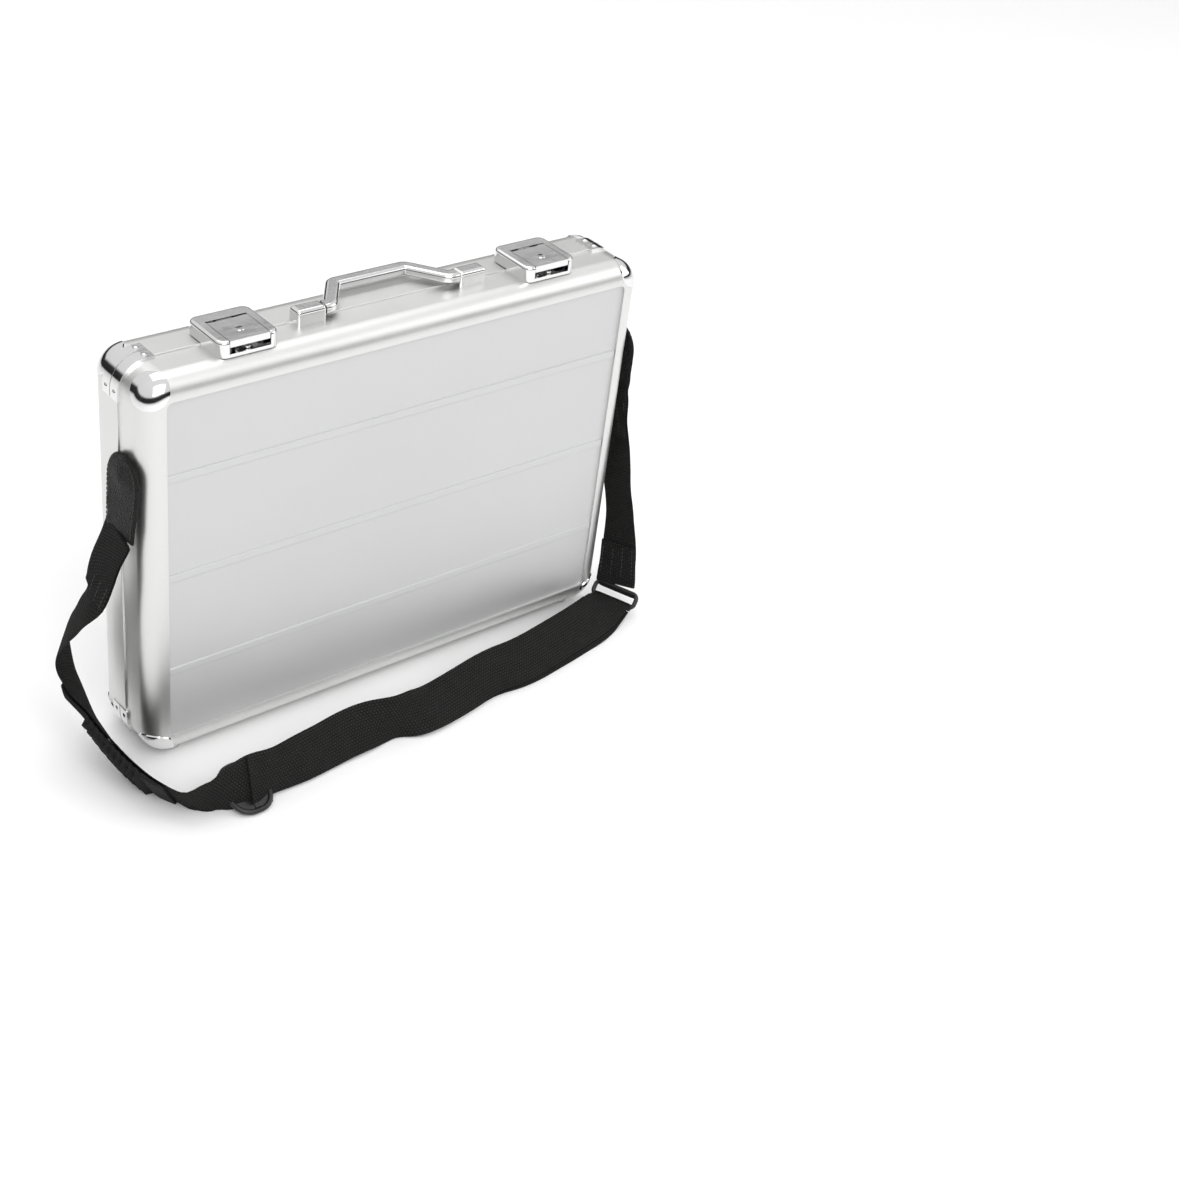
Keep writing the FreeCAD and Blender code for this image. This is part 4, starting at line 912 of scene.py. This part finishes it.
def rounded_loop(mesh: bmesh.types.BMesh, half: float, low: float, high: float, corner: float,
                 depth: float) -> list[bmesh.types.BMVert]:
    """One closed loop in the shape of the case's outline, in millimetres of the case's own frame."""
    per_corner, per_side = 6, 14
    count = 4 * (per_corner + per_side)
    ring = bmesh.ops.create_circle(mesh, segments=count, radius=1.0)["verts"]
    middle, tall = (low + high) / 2, (high - low) / 2
    for number, vert in enumerate(ring):
        quarter, step = divmod(number, per_corner + per_side)
        turn = min(step / per_corner, 1.0) * math.pi / 2
        corner_x, corner_z = half - corner, tall - corner
        signs = ((1, 1), (-1, 1), (-1, -1), (1, -1))
        angle = quarter * math.pi / 2 + turn
        x = signs[quarter][0] * corner_x + corner * math.cos(angle)
        z = signs[quarter][1] * corner_z + corner * math.sin(angle)
        if step > per_corner:
            share = (step - per_corner) / per_side
            after = signs[(quarter + 1) % 4]
            x += (after[0] - signs[quarter][0]) * corner_x * share
            z += (after[1] - signs[quarter][1]) * corner_z * share
        vert.co = at(x, depth, middle + z)
    return ring


@dataclass
class Tray:
    """A cloth-covered board lining: a floor and four walls with a rolled rim."""

    name: str
    node: str
    body: str
    finish: Finishes
    inset: float
    rim: float
    floor: float
    thick: float = 2.0

    def build(self) -> bpy.types.Object:
        """Makes the lining from loops: under the floor, up the outside, over the rim and down again."""
        mesh = bmesh.new()
        into = math.copysign(1.0, self.rim - self.floor)
        under = self.floor - into * self.thick
        outer = [(34.0, under), (12.0, under), (3.0, under), (0.6, under + into * 0.6),
                 (0.0, under + into * 3), (0.0, self.rim - into * 1.2), (0.3, self.rim - into * 0.3)]
        inner = [(self.thick * 0.5, self.rim), (self.thick - 0.3, self.rim - into * 0.3),
                 (self.thick, self.rim - into * 1.2), (self.thick + 0.1, self.floor + into * 6),
                 (self.thick + 1.2, self.floor + into * 1.6), (self.thick + 5, self.floor + into * 0.1)]
        rings = []
        for inset, depth in [*outer, *inner]:
            total = self.inset + inset
            ring = rounded_loop(mesh, 228.5 - total, total, 330 - total, max(22 - total, 1.5), depth)
            rings.append(ring_edges(ring))
        for first, second in zip(rings, rings[1:]):
            bmesh.ops.bridge_loops(mesh, edges=first + second)
        bmesh.ops.holes_fill(mesh, edges=rings[0] + rings[-1], sides=0)
        bmesh.ops.recalc_face_normals(mesh, faces=mesh.faces)
        lining = publish(self.name, mesh, self.body, self.finish)
        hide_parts(self.node)
        return lining


Rise = Callable[[float, float], float]


@dataclass
class Panel:
    """A sewn cloth panel on a lining, with a rolled hem round it."""

    name: str
    node: str
    body: str
    finish: Finishes
    x: tuple[float, float]
    z: tuple[float, float]
    front: float
    out: int
    rise: Rise
    cells: tuple[int, int]
    fullness: float = 1.0
    held: str = "stretched"
    thick: float = 1.0
    hem: float = 1.0
    rests_on: str = "lid_lining"

    def place(self, u: float, v: float) -> Vector:
        """The point of the face at shares of the width and the height."""
        x = self.x[0] + (self.x[1] - self.x[0]) * u
        z = self.z[0] + (self.z[1] - self.z[0]) * v
        return at(x, self.front + self.out * self.rise(u, v), z)

    def build(self) -> bpy.types.Object:
        mesh = bmesh.new()
        bmesh.ops.create_grid(mesh, x_segments=self.cells[0], y_segments=self.cells[1], size=0.5)
        for vert in mesh.verts:
            vert.co = self.place(vert.co.x + 0.5, vert.co.y + 0.5)
        backed = bmesh.ops.extrude_face_region(mesh, geom=mesh.faces[:], use_keep_orig=True)
        behind = [item for item in backed["geom"] if isinstance(item, bmesh.types.BMVert)]
        bmesh.ops.translate(mesh, verts=behind, vec=(0, -self.out * self.thick * MM, 0))
        bmesh.ops.recalc_face_normals(mesh, faces=mesh.faces)
        cloth = publish(self.name, mesh, self.body, self.finish)
        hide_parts(self.node)
        trim = self._hem()
        return cloth

    def _hem(self) -> bpy.types.Object:
        """The piping that finishes the four edges."""
        mesh = bmesh.new()
        steps = 40
        edges = (
            [(n / steps, 1.0) for n in range(steps + 1)], [(n / steps, 0.0) for n in range(steps + 1)],
            [(0.0, n / steps) for n in range(steps + 1)], [(1.0, n / steps) for n in range(steps + 1)],
        )
        for edge in edges:
            points = [self.place(u, v) for u, v in edge]
            frames = []
            for number, point in enumerate(points):
                along = (points[min(number + 1, steps)] - points[max(number - 1, 0)]).normalized()
                frames.append(Frame(point, along, Vector((0, self.out, 0)).cross(along).normalized()))
            merge(mesh, sweep(frames, steady((2.2 + self.hem) * MM), steady((1.0 + self.hem * 0.6) * MM)))
        return publish(self.name + "_hem", mesh, self.body, Finishes.POCKET_CLOTH)


def gathers(u: float, v: float) -> float:
    """A full pocket drawn in by elastic at its top."""
    belly = 5.0 * math.sin(math.pi * min(v * 1.05, 1.0)) ** 0.8 * math.sin(math.pi * u) ** 0.4
    folds = 1.5 * math.sin(2 * math.pi * (13 * u + 0.35 * math.sin(5 * v + 3 * u)))
    return belly + folds * (0.25 + 0.75 * v) * math.sin(math.pi * u) ** 0.3 + 0.4


def ribbed(u: float, v: float) -> float:
    """Elastic with upright ribs, standing off over what it holds."""
    return 3.4 * math.sin(math.pi * u) ** 0.5 * (0.6 + 0.4 * v) + 0.45 * math.sin(2 * math.pi * 15 * u)


def looped(u: float, v: float) -> float:
    """A loop for one pen."""
    return 7.0 * math.sin(math.pi * u) ** 0.8


def slack(u: float, v: float) -> float:
    """A flat panel whose upper edge stands off a little."""
    return 0.9 * v ** 3 * math.sin(math.pi * u) + 0.1 + 0.1 * math.sin(9 * u + 4 * v)


@dataclass
class Interior:
    """The linings, the pockets in the lid, and the divider and bands in the base."""

    def build(self) -> None:
        """Makes every soft piece inside the case."""
        Tray("base_lining_cloth", "base_lining", "base", Finishes.BASE_CLOTH, 3.6, -1.0, -36.8).build()
        Tray("lid_lining_cloth", "lid_lining", "lid", Finishes.LID_CLOTH, 4.0, 5.0, 24.8).build()
        pocket = Finishes.POCKET_CLOTH
        for panel in (
            Panel("file_pocket_cloth", "file_pocket", "lid", Finishes.LID_CLOTH,
                  (-209.5, 209.5), (19, 285), 24.2, -1, slack, (60, 30)),
            Panel("gathered_pocket_cloth", "gathered_pocket", "lid", pocket,
                  (-157.5, -21.5), (31, 157), 22.6, -1, gathers, (130, 40), fullness=1.2, held="gathered"),
            Panel("phone_pocket_cloth", "phone_pocket", "lid", pocket, (137.5, 189.5), (166, 267), 22.6, -1,
                  ribbed, (120, 20), fullness=1.1),
            Panel("pen_loop_left_cloth", "pen_loop_left", "lid", pocket, (58.5, 81), (233, 265), 22.4, -1,
                  looped, (24, 8), fullness=1.35, hem=0.2),
            Panel("pen_loop_right_cloth", "pen_loop_right", "lid", pocket, (86.5, 109), (233, 265), 22.4, -1,
                  looped, (24, 8), fullness=1.35, hem=0.2),
            Panel("card_pocket_back_cloth", "card_pocket_back", "lid", pocket,
                  (70.5, 199.5), (63, 142), 22.6, -1, slack, (40, 20)),
            Panel("card_pocket_front_cloth", "card_pocket_front", "lid", pocket,
                  (72.5, 197.5), (65, 118), 20.9, -1, slack, (40, 20)),
        ):
            panel.build()
        self._divider()
        self._bands()

    def _divider(self) -> None:
        """The padded divider that stands across the base."""
        mesh = bmesh.new()
        where = Matrix.Translation(at(60, -23.2, 165))
        turned_box(mesh, (13.6 * MM, 26.6 * MM, 317.6 * MM), where, 3.2 * MM, 4)
        long_edges = [edge for edge in mesh.edges if abs((edge.verts[0].co - edge.verts[1].co).z) > 100 * MM]
        bmesh.ops.subdivide_edges(mesh, edges=long_edges, cuts=60)
        for vert in mesh.verts:
            height = (vert.co.z - at(0, 0, 0).z) / MM
            quilting = 0.55 * (abs(math.sin(math.pi * height / 53)) ** 0.5 - 0.6)
            side = (vert.co.x - at(60, 0, 0).x) / (7 * MM)
            vert.co.x += side * quilting * MM
        divider = publish("padded_divider", mesh, "base", Finishes.BASE_CLOTH)
        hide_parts("base_divider")

    def _bands(self) -> None:
        """The two hold-down bands on the base's floor and the cloth strip over the hinge."""
        for name, node, depth, low, high in (
            ("hold_band_short_cloth", "hold_band_short", -35.9, 203.5, 312.5),
            ("hold_band_long_cloth", "hold_band_long", -34.3, 17.5, 252.5),
        ):
            count = 60
            frames = []
            for number in range(count + 1):
                share = number / count
                lift = 0.35 * math.sin(7 * share + depth)
                middle = at(-65 + lift, depth, low + (high - low) * share)
                frames.append(Frame(middle, Vector((0, 0, 1)), Vector((1, 0, 0))))
            band = publish(name, sweep(frames, steady(38.5 * MM), steady(1.3 * MM)), "base", Finishes.BAND)
            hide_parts(node)
        along, across = Vector((1, 0, 0)), Vector((0, 1, 0))
        frames = [Frame(at(-201.5 + 403 * n / 80, -5, 6.3), along, across) for n in range(81)]
        mesh = sweep(frames, steady(6.8 * MM), steady(0.8 * MM))
        strip = publish("hinge_strip_cloth", mesh, "base", Finishes.BASE_CLOTH)
        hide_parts("hinge_strip")


# ------------------------------------------------------------------------------------ studio


@dataclass
class Studio:
    """The pale floor, the soft lights and the camera."""

    CARD = (1.6, 0.03)  # the black cards that the chrome reflects, in metres
    CARD_HEIGHTS = (1.262, 1.19)
    LEVELS = ((0.0, 0.8), (0.49, 0.7), (0.51, 0.02), (0.63, 0.04), (0.68, 0.9), (1.0, 1.0))

    lens: float = 57.5
    key: float = 58.0
    fill: float = 20.0

    def build(self) -> None:
        """Makes the floor, the lights, the surroundings and the camera."""
        self._board("floor", 0.92, 0.8, Matrix.Diagonal((12.0, 12.0, 1.0, 1.0)))
        self._light("key", Vector((-0.9, -2.4, 2.6)), 2.4, self.key)
        self._light("fill", Vector((2.6, -1.4, 1.6)), 2.0, self.fill)
        self._light("top", Vector((0.3, 0.9, 2.8)), 2.2, self.fill)
        upright = Matrix.Rotation(math.radians(90), 4, "X") @ Matrix.Diagonal((*self.CARD, 1.0, 1.0))
        for height in self.CARD_HEIGHTS:
            self._board("card", 0.01, 1.0, Matrix.Translation((1.15, 1.5, height)) @ upright)
        self._surroundings()
        self._camera()
        bpy.context.scene.view_settings.view_transform = "Standard"

    def _board(self, name: str, grey: float, roughness: float, place: Matrix) -> None:
        """A plain square board of the set: a unit square, placed and stretched by a matrix."""
        mesh = bmesh.new()
        bmesh.ops.create_grid(mesh, x_segments=2, y_segments=2, size=0.5, matrix=place)
        data = bpy.data.meshes.new(name)
        mesh.to_mesh(data)
        mesh.free()
        graph = Graph(name)
        graph.set(Base_Color=(grey, grey, grey), Roughness=roughness)
        data.materials.append(graph.material)
        board = bpy.data.objects.new(name, data)
        bpy.context.scene.collection.objects.link(board)

    def _light(self, name: str, where: Vector, size: float, power: float) -> None:
        """One square soft light aimed at the case."""
        data = bpy.data.lights.new(name, "AREA")
        data.size = size
        data.energy = power
        lamp = bpy.data.objects.new(name, data)
        lamp.location = where
        lamp.rotation_euler = (Vector((0, 0, 0.15)) - where).to_track_quat("-Z", "Y").to_euler()
        bpy.context.scene.collection.objects.link(lamp)

    def _surroundings(self) -> None:
        """A bright room with a dark band at the horizon, which gives the chrome its streaks."""
        room = Room()
        direction = room.node("ShaderNodeTexCoord", output="Generated")
        height = room.node("ShaderNodeSeparateXYZ", inputs={0: direction}, output="Z")
        share = room.node("ShaderNodeMapRange", inputs={"Value": height, "From Min": -1.0})
        stops = [(position, (level, level, level)) for position, level in self.LEVELS]
        tone = room.node("ShaderNodeValToRGB", {"stops": stops}, {"Fac": share})
        reflected = room.node("ShaderNodeBackground", inputs={"Color": tone, "Strength": 0.9})
        backdrop = room.node("ShaderNodeBackground", inputs={"Color": (1.0, 1.0, 1.0)})
        direct = room.node("ShaderNodeLightPath", output="Is Camera Ray")
        mix = room.node("ShaderNodeMixShader", inputs={0: direct, 1: reflected, 2: backdrop})
        room.feed(room.tree.nodes["World Output"].inputs["Surface"], mix)

    def _camera(self) -> None:
        """The camera: left of the case, in front of it and above it."""
        data = bpy.data.cameras.new("camera")
        data.lens = self.lens
        data.sensor_width = 36.0
        data.shift_x = 0.0214
        data.shift_y = 0.0664
        camera = bpy.data.objects.new("camera", data)
        right = Vector((0.7651, -0.63376, 0.11386))
        up = Vector((0.30891, 0.51641, 0.79868))
        turn = Matrix((right, up, right.cross(up))).transposed().to_4x4()
        turn.translation = Vector((-0.78875, -1.04952, 0.9691))
        camera.matrix_world = turn
        bpy.context.scene.collection.objects.link(camera)
        bpy.context.scene.camera = camera


def main() -> None:
    """Builds everything in order."""
    logging.basicConfig(level=logging.INFO, format="%(name)s: %(message)s")
    Studio().build()
    Hardware().dress()
    ShoulderStrap().build()
    Interior().build()


if __name__ == "__main__":
    main()
